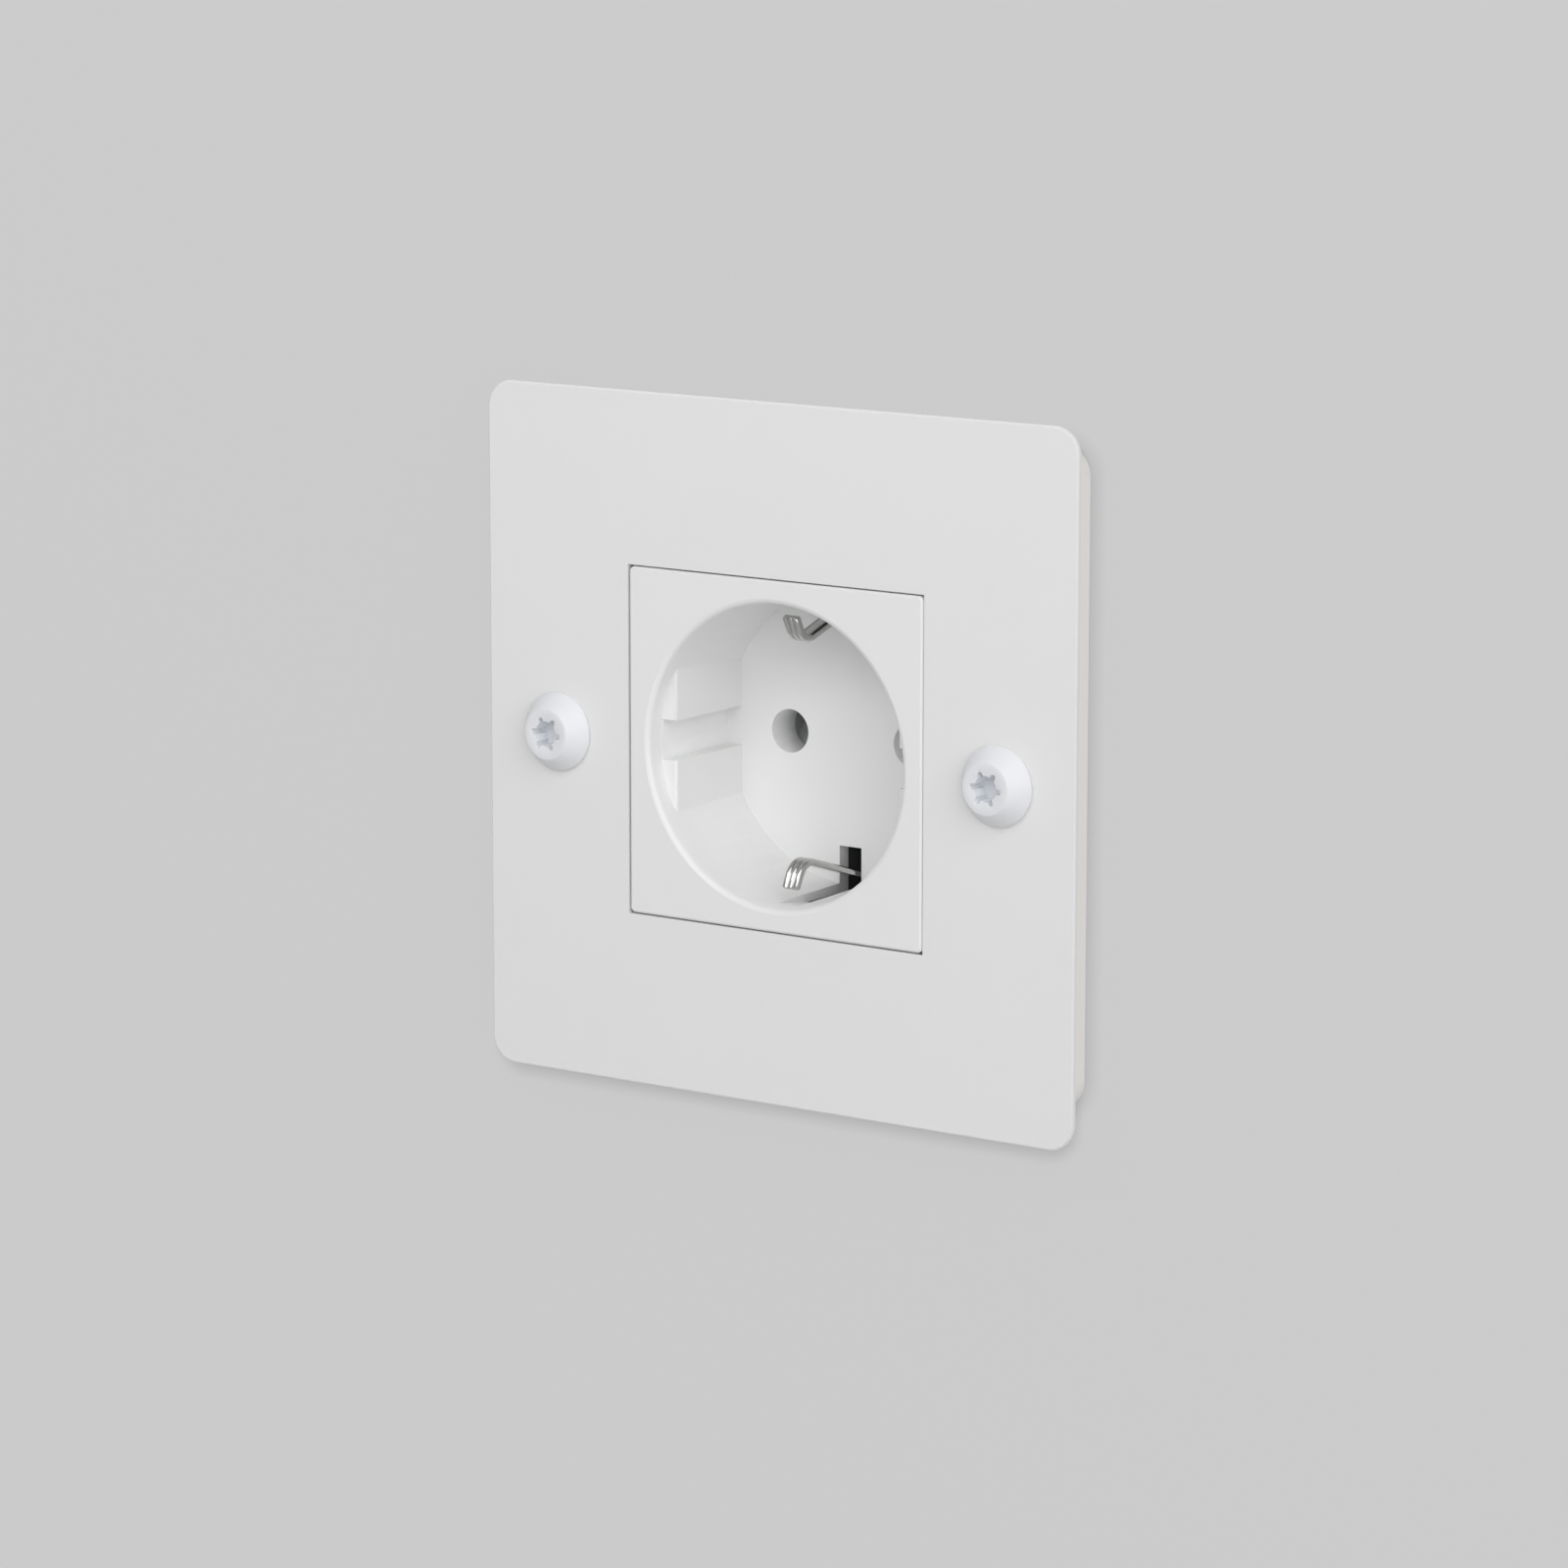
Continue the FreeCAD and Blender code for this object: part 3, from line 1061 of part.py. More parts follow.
def earth_strap():
    """One ribbed strip: two sprung clips in the well, two legs and a cross run behind."""
    body = new_body("earth_strap")
    route = sketch_on(body, "strap_route", "YZ_Plane")
    crest_y = front_y + s.clip_crest_depth
    root_y = crest_y + s.clip_arm_run
    crest_z, tip_z = s.clip_crest_inset - well_radius, s.clip_tip_inset - well_radius
    tangent_path(
        route,
        [(strap_y, 0), (strap_y, -strap_leg), (root_y, -strap_leg),
         (crest_y, crest_z), (front_y + s.clip_tip_depth, tip_z)],
        [s.strap_bend, s.clip_root_bend, s.clip_crest_bend])
    section = sketch_on(body, "strap_section", "XY_Plane")
    strap_section(section)
    strip = body.newObject("PartDesign::AdditivePipe", "lower_strip")
    strip.Profile = section
    strip.Spine = route
    doc.recompute()
    mirror(body, "upper_strip", [strip], "XY_Plane")
    return body


def strap_section(sketch):
    """Outline of a strip with a flat back and three ribs along its front, parted by V grooves."""
    rib, groove, between = s.strap_rib, s.strap_groove, s.strap_rib_pitch / 2
    end = s.strap_rib_pitch + rib
    outline = [(-end, rib), (-end, -rib)]
    for middle in (-between, between):
        outline += [(middle - groove, -rib), (middle, groove - rib), (middle + groove, -rib)]
    outline += [(end, -rib), (end, rib)]
    polygon(sketch, [(x, strap_y + height) for x, height in outline])


clamp_reach = s.block_width / 2 - s.wire_radius + s.contact_sheet
earth_reach = s.block_height / 2 - s.wire_radius
clamp_seat_x = block_outer_x + s.contact_sheet

PIECES = [
    face_plate(),
    spacer_frame(),
    mounting_bridge(),
    threaded_pillar(-1, "threaded_pillar_left"),
    threaded_pillar(1, "threaded_pillar_right"),
    plate_screw(-1, "plate_screw_left"),
    plate_screw(1, "plate_screw_right"),
    socket_insert(),
    rear_base(),
    safety_shutter(),
    inner_plate(),
    shutter_spring(),
    pin_contact(-1, "line_contact"),
    pin_contact(1, "neutral_contact"),
    pin_terminal(-1, "line_terminal"),
    pin_terminal(1, "neutral_terminal"),
    earth_strap(),
    earth_terminal(),
    clamp_screw("line_terminal_screw", (-clamp_seat_x, block_middle_y, block_middle_z),
                clamp_reach, UPWARDS, -90),
    clamp_screw("neutral_terminal_screw", (clamp_seat_x, block_middle_y, block_middle_z),
                clamp_reach, UPWARDS, 90),
    clamp_screw("earth_terminal_screw", (None, earth_middle_y, earth_low_z),
                earth_reach, SIDEWAYS, 90),
]
for number, (side, up) in enumerate(((-1, 1), (1, 1), (-1, -1), (1, -1)), 1):
    PIECES.append(base_screw(side, up, "base_screw_%d" % number))

doc.recompute()
for item in doc.Objects:
    if "Invalid" in item.State or "Error" in item.State:
        raise RuntimeError("%s is not valid: %s" % (item.Label, item.State))
for piece in PIECES:
    if piece.Shape.isNull() or not piece.Shape.isValid():
        raise RuntimeError("%s has no valid shape" % piece.Label)
    piece.Shape.exportStep("parts/%s.step" % piece.Label)
    print("%-24s %2d solid(s) %10.1f mm3" % (piece.Label, len(piece.Shape.Solids), piece.Shape.Volume))
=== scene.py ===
from math import ceil, cos, pi, radians, sin, tan

import bpy
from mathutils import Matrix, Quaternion, Vector


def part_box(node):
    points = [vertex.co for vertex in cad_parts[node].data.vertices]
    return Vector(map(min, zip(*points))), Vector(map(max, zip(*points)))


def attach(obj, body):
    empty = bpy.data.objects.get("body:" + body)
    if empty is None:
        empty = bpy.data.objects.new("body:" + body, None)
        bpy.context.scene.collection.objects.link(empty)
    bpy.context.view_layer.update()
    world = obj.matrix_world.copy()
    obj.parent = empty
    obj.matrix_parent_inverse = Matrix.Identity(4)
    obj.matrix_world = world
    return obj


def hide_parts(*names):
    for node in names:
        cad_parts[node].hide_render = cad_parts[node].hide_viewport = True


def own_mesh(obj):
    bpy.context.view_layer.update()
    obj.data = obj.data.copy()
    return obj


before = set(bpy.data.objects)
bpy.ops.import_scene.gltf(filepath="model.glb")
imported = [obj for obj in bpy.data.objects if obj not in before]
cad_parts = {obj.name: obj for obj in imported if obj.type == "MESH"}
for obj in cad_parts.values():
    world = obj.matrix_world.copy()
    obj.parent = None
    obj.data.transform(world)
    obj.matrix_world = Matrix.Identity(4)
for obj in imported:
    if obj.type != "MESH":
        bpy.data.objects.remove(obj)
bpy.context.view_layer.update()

# Socket insert: the white moulding with the round plug well, its guide grooves and pin holes.
# It is injection moulded in semi-gloss thermoset plastic, and its four latches clip it into the
# steel bridge. The mould leaves every outer edge slightly rounded and the surface faintly mottled.
MM = 0.001
PATCH_START, PATCH_END = 0.3, 0.7
JOINING_REACH = 1e-6
FLAT_WITHIN, SHARP_FROM = 0.5, 32
EDGE_SEGMENTS = 2


def patches(tree, size, detail=2.0, stretch=(1, 1, 1)):
    """Cloudy noise in the piece's own coordinates, with features of about the given size in mm."""
    place = tree.nodes.new("ShaderNodeTexCoord")
    spread = tree.nodes.new("ShaderNodeMapping")
    spread.inputs["Scale"].default_value = [share / (size * MM) for share in stretch]
    cloud = tree.nodes.new("ShaderNodeTexNoise")
    cloud.inputs["Scale"].default_value = 1.0
    cloud.inputs["Detail"].default_value = detail
    tree.links.new(place.outputs["Object"], spread.inputs["Vector"])
    tree.links.new(spread.outputs["Vector"], cloud.inputs["Vector"])
    return cloud.outputs[0]


def shaded(tree, shader, cloud, dark, light):
    """Lets the colour drift between two close shades."""
    ramp = tree.nodes.new("ShaderNodeValToRGB")
    start, end = ramp.color_ramp.elements
    start.position, end.position = PATCH_START, PATCH_END
    start.color, end.color = (*dark, 1), (*light, 1)
    tree.links.new(cloud, ramp.inputs["Fac"])
    tree.links.new(ramp.outputs["Color"], shader.inputs["Base Color"])


def polished(tree, shader, cloud, low, high):
    """Lets the roughness drift between two numbers."""
    reach = tree.nodes.new("ShaderNodeMapRange")
    reach.inputs["From Min"].default_value = PATCH_START
    reach.inputs["From Max"].default_value = PATCH_END
    reach.inputs["To Min"].default_value = low
    reach.inputs["To Max"].default_value = high
    tree.links.new(cloud, reach.inputs["Value"])
    tree.links.new(reach.outputs["Result"], shader.inputs["Roughness"])


def grained(tree, shader, layers):
    """Stacks bumps on the surface; each layer is a height in mm and the noise that it follows."""
    below = None
    for height, noise in layers:
        bump = tree.nodes.new("ShaderNodeBump")
        bump.inputs["Strength"].default_value = 1.0
        bump.inputs["Distance"].default_value = height * MM
        tree.links.new(patches(tree, *noise), bump.inputs["Height"])
        if below is not None:
            tree.links.new(below, bump.inputs["Normal"])
        below = bump.outputs["Normal"]
    tree.links.new(below, shader.inputs["Normal"])


def made_of(name, colour, roughness, gloss_patch, grain, shade=None, shade_patch=None, metallic=0.0):
    """A finish with one shader: its colour drifts towards a shade, its roughness between two numbers.
    A patch is a noise's size in mm, then its detail and stretch where they matter."""
    finish = bpy.data.materials.new(name)
    finish.use_nodes = True
    tree = finish.node_tree
    shader = tree.nodes["Principled BSDF"]
    shader.inputs["Base Color"].default_value = (*colour, 1)
    shader.inputs["Metallic"].default_value = metallic
    if shade is not None:
        shaded(tree, shader, patches(tree, *shade_patch), shade, colour)
    polished(tree, shader, patches(tree, *gloss_patch), *roughness)
    grained(tree, shader, grain)
    return finish


def dress_node(name, finish, edge):
    """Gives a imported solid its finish, and breaks its sharp edges by the given width in mm."""
    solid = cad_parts[name]
    solid.data.materials.clear()
    solid.data.materials.append(finish)
    weld = solid.modifiers.new("joined_faces", "WELD")
    weld.merge_threshold = JOINING_REACH
    flat = solid.modifiers.new("flat_faces", "DECIMATE")
    flat.decimate_type = "DISSOLVE"
    flat.angle_limit = radians(FLAT_WITHIN)
    broken = solid.modifiers.new("broken_edges", "BEVEL")
    broken.width = edge * MM
    broken.segments = EDGE_SEGMENTS
    broken.limit_method = "ANGLE"
    broken.angle_limit = radians(SHARP_FROM)
    broken.harden_normals = True


insert_finish = made_of("white_moulded_insert", colour=(0.885, 0.890, 0.885), shade=(0.878, 0.883, 0.878),
                        shade_patch=(9.0,), roughness=(0.30, 0.36), gloss_patch=(3.0,),
                        grain=[(0.008, (5.0, 0)), (0.0006, (0.3,))])
dress_node("socket_insert", insert_finish, edge=0.08)

# Earth strap: one strip of nickel-plated spring bronze, rolled with three ribs along its front and
# bent into a U behind the well. Its two ends are the sprung clips that come through the slots at
# the top and foot of the well, and its cross run lies in a channel of the rear base.
STRAP_HALF = 0.43 * MM
STRAP_CORNER = 0.07 * MM
RIB_PITCH = 0.78 * MM
RIB_HEIGHT = 0.3 * MM
RIB_STEPS, RIB_ROUNDNESS = 8, 2.6
STRAP_ROUTE = [(23.0, 0.0), (23.0, -18.6), (12.4, -18.6), (-2.9, -13.9), (-4.7, -17.45)]
STRAP_BENDS = [1.6, 3.0, 2.5]
BEND_STEPS = 12
TIP_EASE, TIP_SHARE = 0.12 * MM, 0.86
STRAP_CREASE = 50


def bent_route(corners, bends, steps):
    """Points along straight runs joined by tangent bends."""
    points = [corners[0]]
    for before, corner, after, radius in zip(corners, corners[1:], corners[2:], bends):
        towards = (before - corner).normalized()
        onwards = (after - corner).normalized()
        half = towards.angle(onwards) / 2
        middle = corner + (towards + onwards).normalized() * (radius / sin(half))
        first = corner + towards * (radius / tan(half)) - middle
        last = corner + onwards * (radius / tan(half)) - middle
        span = first.angle(last)
        for step in range(steps + 1):
            turn = span * step / steps
            points.append(middle + (first * sin(span - turn) + last * sin(turn)) / sin(span))
    points.append(corners[-1])
    return points


def new_piece(name, points, faces):
    """A mesh from its points and faces, placed in the scene."""
    mesh = bpy.data.meshes.new(name)
    mesh.from_pydata(points, [], faces)
    mesh.update()
    piece = bpy.data.objects.new(name, mesh)
    bpy.context.scene.collection.objects.link(piece)
    return piece


def swept(name, route, outline, side, end_share=1.0):
    """A closed outline carried along a route; side is the outline's fixed sideways direction."""
    rings, count = [], len(outline)
    for number, point in enumerate(route):
        before = route[max(number - 1, 0)]
        after = route[min(number + 1, len(route) - 1)]
        along = (after - before).normalized()
        across = (side - along * side.dot(along)).normalized()
        rise = along.cross(across)
        share = end_share if number in (0, len(route) - 1) else 1.0
        rings.append([point + (across * x + rise * y) * share for x, y in outline])
    points = [point for ring in rings for point in ring]
    faces = []
    for ring in range(len(rings) - 1):
        for item in range(count):
            following = (item + 1) % count
            faces.append((ring * count + item, ring * count + following,
                          (ring + 1) * count + following, (ring + 1) * count + item))
    faces.append(tuple(reversed(range(count))))
    faces.append(tuple(range((len(rings) - 1) * count, len(rings) * count)))
    return new_piece(name, points, faces)


def smooth(piece, angle):
    """Shades a piece smoothly, with its sharper edges left crisp."""
    piece.data.shade_smooth()
    piece.data.set_sharp_from_angle(angle=radians(angle))


def ribbed_outline():
    """Outline of the strip, from its flat back round to the three rounded ribs of its front."""
    edge = RIB_PITCH + STRAP_HALF
    outline = [(-edge, STRAP_CORNER - STRAP_HALF), (STRAP_CORNER - edge, -STRAP_HALF),
               (edge - STRAP_CORNER, -STRAP_HALF), (edge, STRAP_CORNER - STRAP_HALF)]
    for number in (1, 0, -1):
        for step in range(0 if number == 1 else 1, RIB_STEPS + 1):
            share = 1 - 2 * step / RIB_STEPS
            half = STRAP_HALF if number * share > 0 else RIB_PITCH / 2
            outline.append((RIB_PITCH * number + half * share,
                            STRAP_HALF - RIB_HEIGHT * abs(share) ** RIB_ROUNDNESS))
    return outline


lower_half = bent_route([Vector((0, y, z)) * MM for y, z in STRAP_ROUTE],
                        [bend * MM for bend in STRAP_BENDS], BEND_STEPS)
tip_run = (lower_half[-2] - lower_half[-1]).normalized() * TIP_EASE
lower_half.insert(-1, lower_half[-1] + tip_run)
upper_half = [Vector((p.x, p.y, -p.z)) for p in reversed(lower_half[1:])]
strap = swept("ribbed_earth_strap", upper_half + lower_half, ribbed_outline(), Vector((1, 0, 0)),
              TIP_SHARE)
smooth(strap, STRAP_CREASE)
nickel_finish = made_of("bright_nickel_plate", colour=(0.60, 0.595, 0.585), shade=(0.555, 0.55, 0.54),
                        shade_patch=(1.5,), roughness=(0.09, 0.20), gloss_patch=(0.5, 3, (1, 0.2, 0.2)),
                        grain=[(0.004, (0.35, 2, (1, 0.25, 0.25)))], metallic=1.0)
strap.data.materials.append(nickel_finish)
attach(strap, "socket")
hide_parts("earth_strap")

# Safety shutter: a grey sliding gate behind the pin holes, moulded in hard self-coloured plastic.
# Two pins pressed on its ramps at once push it down against a small coil spring, which sits on
# a peg of the inner plate and lifts the gate again when the plug is drawn.
shutter_finish = made_of("grey_shutter", colour=(0.390, 0.395, 0.400), shade=(0.370, 0.376, 0.383),
                         shade_patch=(4.0,), roughness=(0.36, 0.48), gloss_patch=(1.5,),
                         grain=[(0.003, (0.3,))])
dress_node("safety_shutter", shutter_finish, edge=0.12)

SPRING_TURNS, SPRING_STEPS = 6, 40
SPRING_CLOSED_TURNS, SPRING_CLOSED_SHARE = 0.9, 0.075
SPRING_WIRE, WIRE_SIDES, WIRE_CREASE = 0.2 * MM, 12, 50
spring_low, spring_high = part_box("shutter_spring")
spring_middle = (spring_low + spring_high) / 2
coil_radius = (spring_high.x - spring_low.x) / 2 - SPRING_WIRE
coil_low, coil_high = spring_low.z + SPRING_WIRE, spring_high.z - SPRING_WIRE


def coil_height(share):
    """Height along the coil, with a closed turn at each end."""
    closed = SPRING_CLOSED_TURNS / SPRING_TURNS
    if share < closed:
        return SPRING_CLOSED_SHARE * share / closed
    if share > 1 - closed:
        return 1 - SPRING_CLOSED_SHARE * (1 - share) / closed
    return SPRING_CLOSED_SHARE + (1 - 2 * SPRING_CLOSED_SHARE) * (share - closed) / (1 - 2 * closed)


def round_wire(radius, sides):
    """Outline of a round wire."""
    return [(radius * cos(2 * pi * k / sides), radius * sin(2 * pi * k / sides)) for k in range(sides)]


coil = []
for step in range(SPRING_TURNS * SPRING_STEPS + 1):
    turn = 2 * pi * step / SPRING_STEPS
    height = coil_height(step / (SPRING_TURNS * SPRING_STEPS))
    coil.append(Vector((spring_middle.x + coil_radius * cos(turn),
                        spring_middle.y + coil_radius * sin(turn),
                        coil_low + (coil_high - coil_low) * height)))
spring = swept("shutter_coil_spring", coil, round_wire(SPRING_WIRE, WIRE_SIDES), Vector((0, 0, 1)))
smooth(spring, WIRE_CREASE)
spring_finish = made_of("drawn_spring_steel", colour=(0.50, 0.49, 0.48), roughness=(0.18, 0.26),
                        gloss_patch=(0.3,), grain=[(0.001, (0.2,))], metallic=1.0)
spring.data.materials.append(spring_finish)
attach(spring, "socket")
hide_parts("shutter_spring")
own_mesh(spring)

# Inner plate: a pale moulded cover that closes the contact chambers behind the shutter.
# It carries the spring's peg and has two clear holes for the pins.
inner_finish = made_of("pale_inner_plate", colour=(0.560, 0.560, 0.545), shade=(0.535, 0.535, 0.520),
                       shade_patch=(5.0,), roughness=(0.40, 0.50), gloss_patch=(1.5,),
                       grain=[(0.004, (0.3,))])
dress_node("inner_plate", inner_finish, edge=0.1)

# Pin contacts: sprung forks of bare brass strip, one behind each pin hole.
# They are stamped and bent, so they show fine drawing lines along the strip.
contact_finish = made_of("stamped_contact_brass", colour=(0.78, 0.57, 0.30), shade=(0.70, 0.49, 0.25),
                         shade_patch=(2.0,), roughness=(0.29, 0.42), gloss_patch=(0.4, 3, (1, 0.1, 1)),
                         grain=[(0.003, (0.2, 3, (1, 0.08, 1)))], metallic=1.0)
for contact in ("line_contact", "neutral_contact"):
    dress_node(contact, contact_finish, edge=0.08)

# Terminals: sawn blocks of brass bar, each drilled for its wire and tapped for its clamping screw.
# Turned and sawn faces keep fine tool marks, and handling leaves them slightly dull.
terminal_finish = made_of("sawn_terminal_brass", colour=(0.72, 0.53, 0.28), shade=(0.62, 0.44, 0.22),
                          shade_patch=(3.0,), roughness=(0.30, 0.46), gloss_patch=(0.6, 3, (0.15, 1, 1)),
                          grain=[(0.006, (0.25, 3, (0.1, 1, 1)))], metallic=1.0)
for terminal in ("line_terminal", "neutral_terminal", "earth_terminal"):
    dress_node(terminal, terminal_finish, edge=0.15)

# Rear base: the dark housing behind the wall plane, moulded in glass-filled plastic.
# It holds the contacts and terminals, and has a wire entry and a screwdriver hole for each of them.
# The mould's faces are spark-eroded, so the surface has an even fine grain.
base_finish = made_of("dark_rear_base", colour=(0.106, 0.109, 0.114), shade=(0.088, 0.091, 0.096),
                      shade_patch=(6.0,), roughness=(0.44, 0.58), gloss_patch=(1.2,),
                      grain=[(0.012, (0.18, 3))])
dress_node("rear_base", base_finish, edge=0.2)

# Base screws and clamping screws: zinc-plated steel, turned and thread-rolled.
# Four round-headed screws with a cross recess hold the rear base to the bosses of the insert, and
# one slotted screw in each terminal clamps its wire.
SCREW_AROUND, SCREW_CREASE = 96, 40
ROWS_PER_TURN, THREAD_TIP = 8, 0.1
FLANK_SLOPE, CREST_SHARE = 1.25, 0.12
SMALLEST_SINE = 0.01
# Each profile lists a ring's radius, or its share of the recess, and its depth below the head, in mm.
BASE_SHANK, BASE_SHANK_START, BASE_LENGTH = 1.2, 1.7, 9.0
BASE_PITCH, BASE_THREAD_DEPTH = 0.9, 0.3
BASE_HEAD = [(1.55, 0.0), (1.85, 0.08), (2.1, 0.28), (2.3, 0.75), (2.3, 1.52), (2.22, 1.6), (1.3, 1.6)]
CROSS_ARMS, CROSS_WIDTH, CROSS_REACH = 4, 0.62, 1.35
CROSS_RECESS = [(0.05, 1.25), (0.55, 1.1), (0.98, 0.06), (1.03, 0.0)]
CLAMP_SHANK, CLAMP_SHANK_START = 1.4, 1.95
CLAMP_PITCH, CLAMP_THREAD_DEPTH = 0.5, 0.22
CLAMP_HEAD = [(2.3, 0.0), (2.44, 0.06), (2.5, 0.2), (2.5, 1.8), (2.4, 1.9), (1.45, 1.9)]
SLOT_ARMS, SLOT_WIDTH, SLOT_REACH = 2, 0.8, 2.2
SLOT_RECESS = [(0.05, 0.95), (0.98, 0.95), (1.0, 0.05), (1.03, 0.0)]


def turned(name, rings, around, head_top, inward):
    """A turned piece: each ring gives, for an angle, its radius and its depth below the head in mm."""
    swing = Vector((0, 1, 0)).rotation_difference(inward)
    points, faces = [], []
    for ring in rings:
        for item in range(around):
            turn = 2 * pi * item / around
            radius, depth = ring(turn)
            points.append(head_top + swing @ Vector((radius * cos(turn), depth, radius * sin(turn))) * MM)
    for ring in range(len(rings) - 1):
        for item in range(around):
            following = (item + 1) % around
            faces.append((ring * around + item, (ring + 1) * around + item,
                          (ring + 1) * around + following, ring * around + following))
    faces.append(tuple(range(around)))
    faces.append(tuple(reversed(range((len(rings) - 1) * around, len(rings) * around))))
    return new_piece(name, points, faces)


def fixed(radius, depth):
    """A plain round ring."""
    return lambda turn: (radius, depth)


def armed(arms, width, reach, share, depth):
    """A ring that follows the outline of a slot (two arms) or a cross (four arms)."""
    def ring(turn):
        step = 2 * pi / arms
        off = abs((turn + step / 2) % step - step / 2)
        flank = width / 2 / max(sin(off), SMALLEST_SINE)
        return min(reach, flank) * share, depth
    return ring


def thread(depth, start, crest, height, pitch):
    """A ring of a rolled thread: the radius follows the helix."""
    def ring(turn):
        phase = ((depth - start) / pitch + turn / (2 * pi)) % 1.0
        return crest - height * min(1.0, max(0.0, abs(2 * phase - 1) * FLANK_SLOPE - CREST_SHARE)), depth
    return ring


def threaded(start, end, crest, height, pitch):
    """Rings of a threaded shank with a short blunt tip."""
    rows = ceil((end - start) / pitch * ROWS_PER_TURN)
    stop = end - height
    rings = [fixed(crest, start)]
    for row in range(rows + 1):
        rings.append(thread(start + (stop - start) * row / rows, start, crest, height, pitch))
    return rings + [fixed(crest - height, stop), fixed(crest - 2 * height, end), fixed(THREAD_TIP, end)]


screw_finish = made_of("plated_screw_steel", colour=(0.62, 0.62, 0.60), shade=(0.55, 0.55, 0.53),
                       shade_patch=(1.2,), roughness=(0.29, 0.42), gloss_patch=(0.5,),
                       grain=[(0.003, (0.2,))], metallic=1.0)


def fitted_screw(name, node, rings, inward):
    """Puts a turned screw in the place of a packed one, with its head at the far end of its box."""
    low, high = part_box(node)
    head_top = (low + high) / 2 - inward * (abs((high - low).dot(inward)) / 2)
    screw = turned(name, rings, SCREW_AROUND, head_top, inward)
    screw.data.materials.append(screw_finish)
    smooth(screw, SCREW_CREASE)
    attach(screw, "socket")
    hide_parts(node)


base_rings = [armed(CROSS_ARMS, CROSS_WIDTH, CROSS_REACH, share, depth) for share, depth in CROSS_RECESS]
base_rings += [fixed(radius, depth) for radius, depth in BASE_HEAD]
base_rings += threaded(BASE_SHANK_START, BASE_LENGTH, BASE_SHANK, BASE_THREAD_DEPTH, BASE_PITCH)
for number in range(1, 5):
    fitted_screw("round_head_screw_%d" % number, "base_screw_%d" % number, base_rings,
                 Vector((0, -1, 0)))

clamp_rings = [armed(SLOT_ARMS, SLOT_WIDTH, SLOT_REACH, share, depth) for share, depth in SLOT_RECESS]
clamp_rings += [fixed(radius, depth) for radius, depth in CLAMP_HEAD]
for conductor, inward in (("line", (1, 0, 0)), ("neutral", (-1, 0, 0)), ("earth", (0, 0, 1))):
    node = conductor + "_terminal_screw"
    low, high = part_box(node)
    length = abs((high - low).dot(Vector(inward))) / MM
    shank = threaded(CLAMP_SHANK_START, length, CLAMP_SHANK, CLAMP_THREAD_DEPTH, CLAMP_PITCH)
    fitted_screw("slotted_%s_screw" % conductor, node, clamp_rings + shank, Vector(inward))

# Mounting bridge: the carrier that is screwed to the wall box, stamped from 1.2 mm steel sheet.
# It is zinc plated, which leaves a soft cloudy sheen, and two hexagonal pillars for the plate
# screws are riveted into it.
zinc_finish = made_of("zinc_plated_sheet", colour=(0.64, 0.65, 0.66), shade=(0.54, 0.55, 0.565),
                      shade_patch=(7.0, 4), roughness=(0.30, 0.46), gloss_patch=(2.5, 4),
                      grain=[(0.004, (1.2, 3)), (0.0015, (0.15,))], metallic=1.0)
dress_node("mounting_bridge", zinc_finish, edge=0.12)
for side in ("left", "right"):
    dress_node("threaded_pillar_" + side, zinc_finish, edge=0.15)

# Spacer frame: a shallow white moulding between the wall and the face plate.
# It is a warmer white than the plate, and its side wall shows as a thin step at the right edge.
frame_finish = made_of("warm_white_frame", colour=(0.860, 0.836, 0.812), shade=(0.850, 0.827, 0.803),
                       shade_patch=(8.0,), roughness=(0.44, 0.56), gloss_patch=(2.0,),
                       grain=[(0.004, (0.35,))])
dress_node("spacer_frame", frame_finish, edge=0.15)

# Face plate: laser-cut steel sheet with eased front edges, coated with matt white powder.
# The baked powder leaves a fine orange-peel skin. Its right edge carries painted shade: its colour is
# darkened, because the photograph shows it darker than this light makes it.
PAINTED_EDGE_SHADE = 0.89
EDGE_START, EDGE_FULL = 0.1, 0.4
powder_finish = made_of("matt_powder_coat", colour=(0.862, 0.862, 0.860), shade=(0.857, 0.857, 0.855),
                        shade_patch=(12.0,), roughness=(0.50, 0.60), gloss_patch=(2.0,),
                        grain=[(0.003, (0.9, 0)), (0.001, (0.25,))])


def paint_shade_on_right_edge(tree):
    """Paints shade on the faces that look to the right: their colour is darkened towards the painted edge
    shade.
    """
    base_colour = tree.nodes["Principled BSDF"].inputs["Base Color"]
    facing = tree.nodes.new("ShaderNodeNewGeometry")
    sideways = tree.nodes.new("ShaderNodeSeparateXYZ")
    share = tree.nodes.new("ShaderNodeMapRange")
    share.inputs["From Min"].default_value = EDGE_START
    share.inputs["From Max"].default_value = EDGE_FULL
    share.inputs["To Min"].default_value = 1.0
    share.inputs["To Max"].default_value = PAINTED_EDGE_SHADE
    edge_painted_shade = tree.nodes.new("ShaderNodeHueSaturation")
    tree.links.new(facing.outputs["True Normal"], sideways.inputs[0])
    tree.links.new(sideways.outputs["X"], share.inputs["Value"])
    tree.links.new(share.outputs["Result"], edge_painted_shade.inputs["Value"])
    tree.links.new(base_colour.links[0].from_socket, edge_painted_shade.inputs["Color"])
    tree.links.new(edge_painted_shade.outputs["Color"], base_colour)


# Painted shade: the plate's faces that look to the right are darkened in colour.
paint_shade_on_right_edge(powder_finish.node_tree)
dress_node("face_plate", powder_finish, edge=0.08)

# Plate screws: two M4 screws with conical heads and six-lobe recesses.
# The heads are coated to match the plate, and the thread stays bare plated steel.
PLATE_AROUND = 144
PLATE_LENGTH, PLATE_SHANK_START = 9.9, 3.8
THREAD_RADIUS, THREAD_DEPTH, THREAD_PITCH = 2.0, 0.38, 0.7
LOBES, LOBE_REACH, LOBE_RADIUS, LOBE_WAIST, LOBE_TURN = 6, 2.215, 0.4, 1.595, -5.5
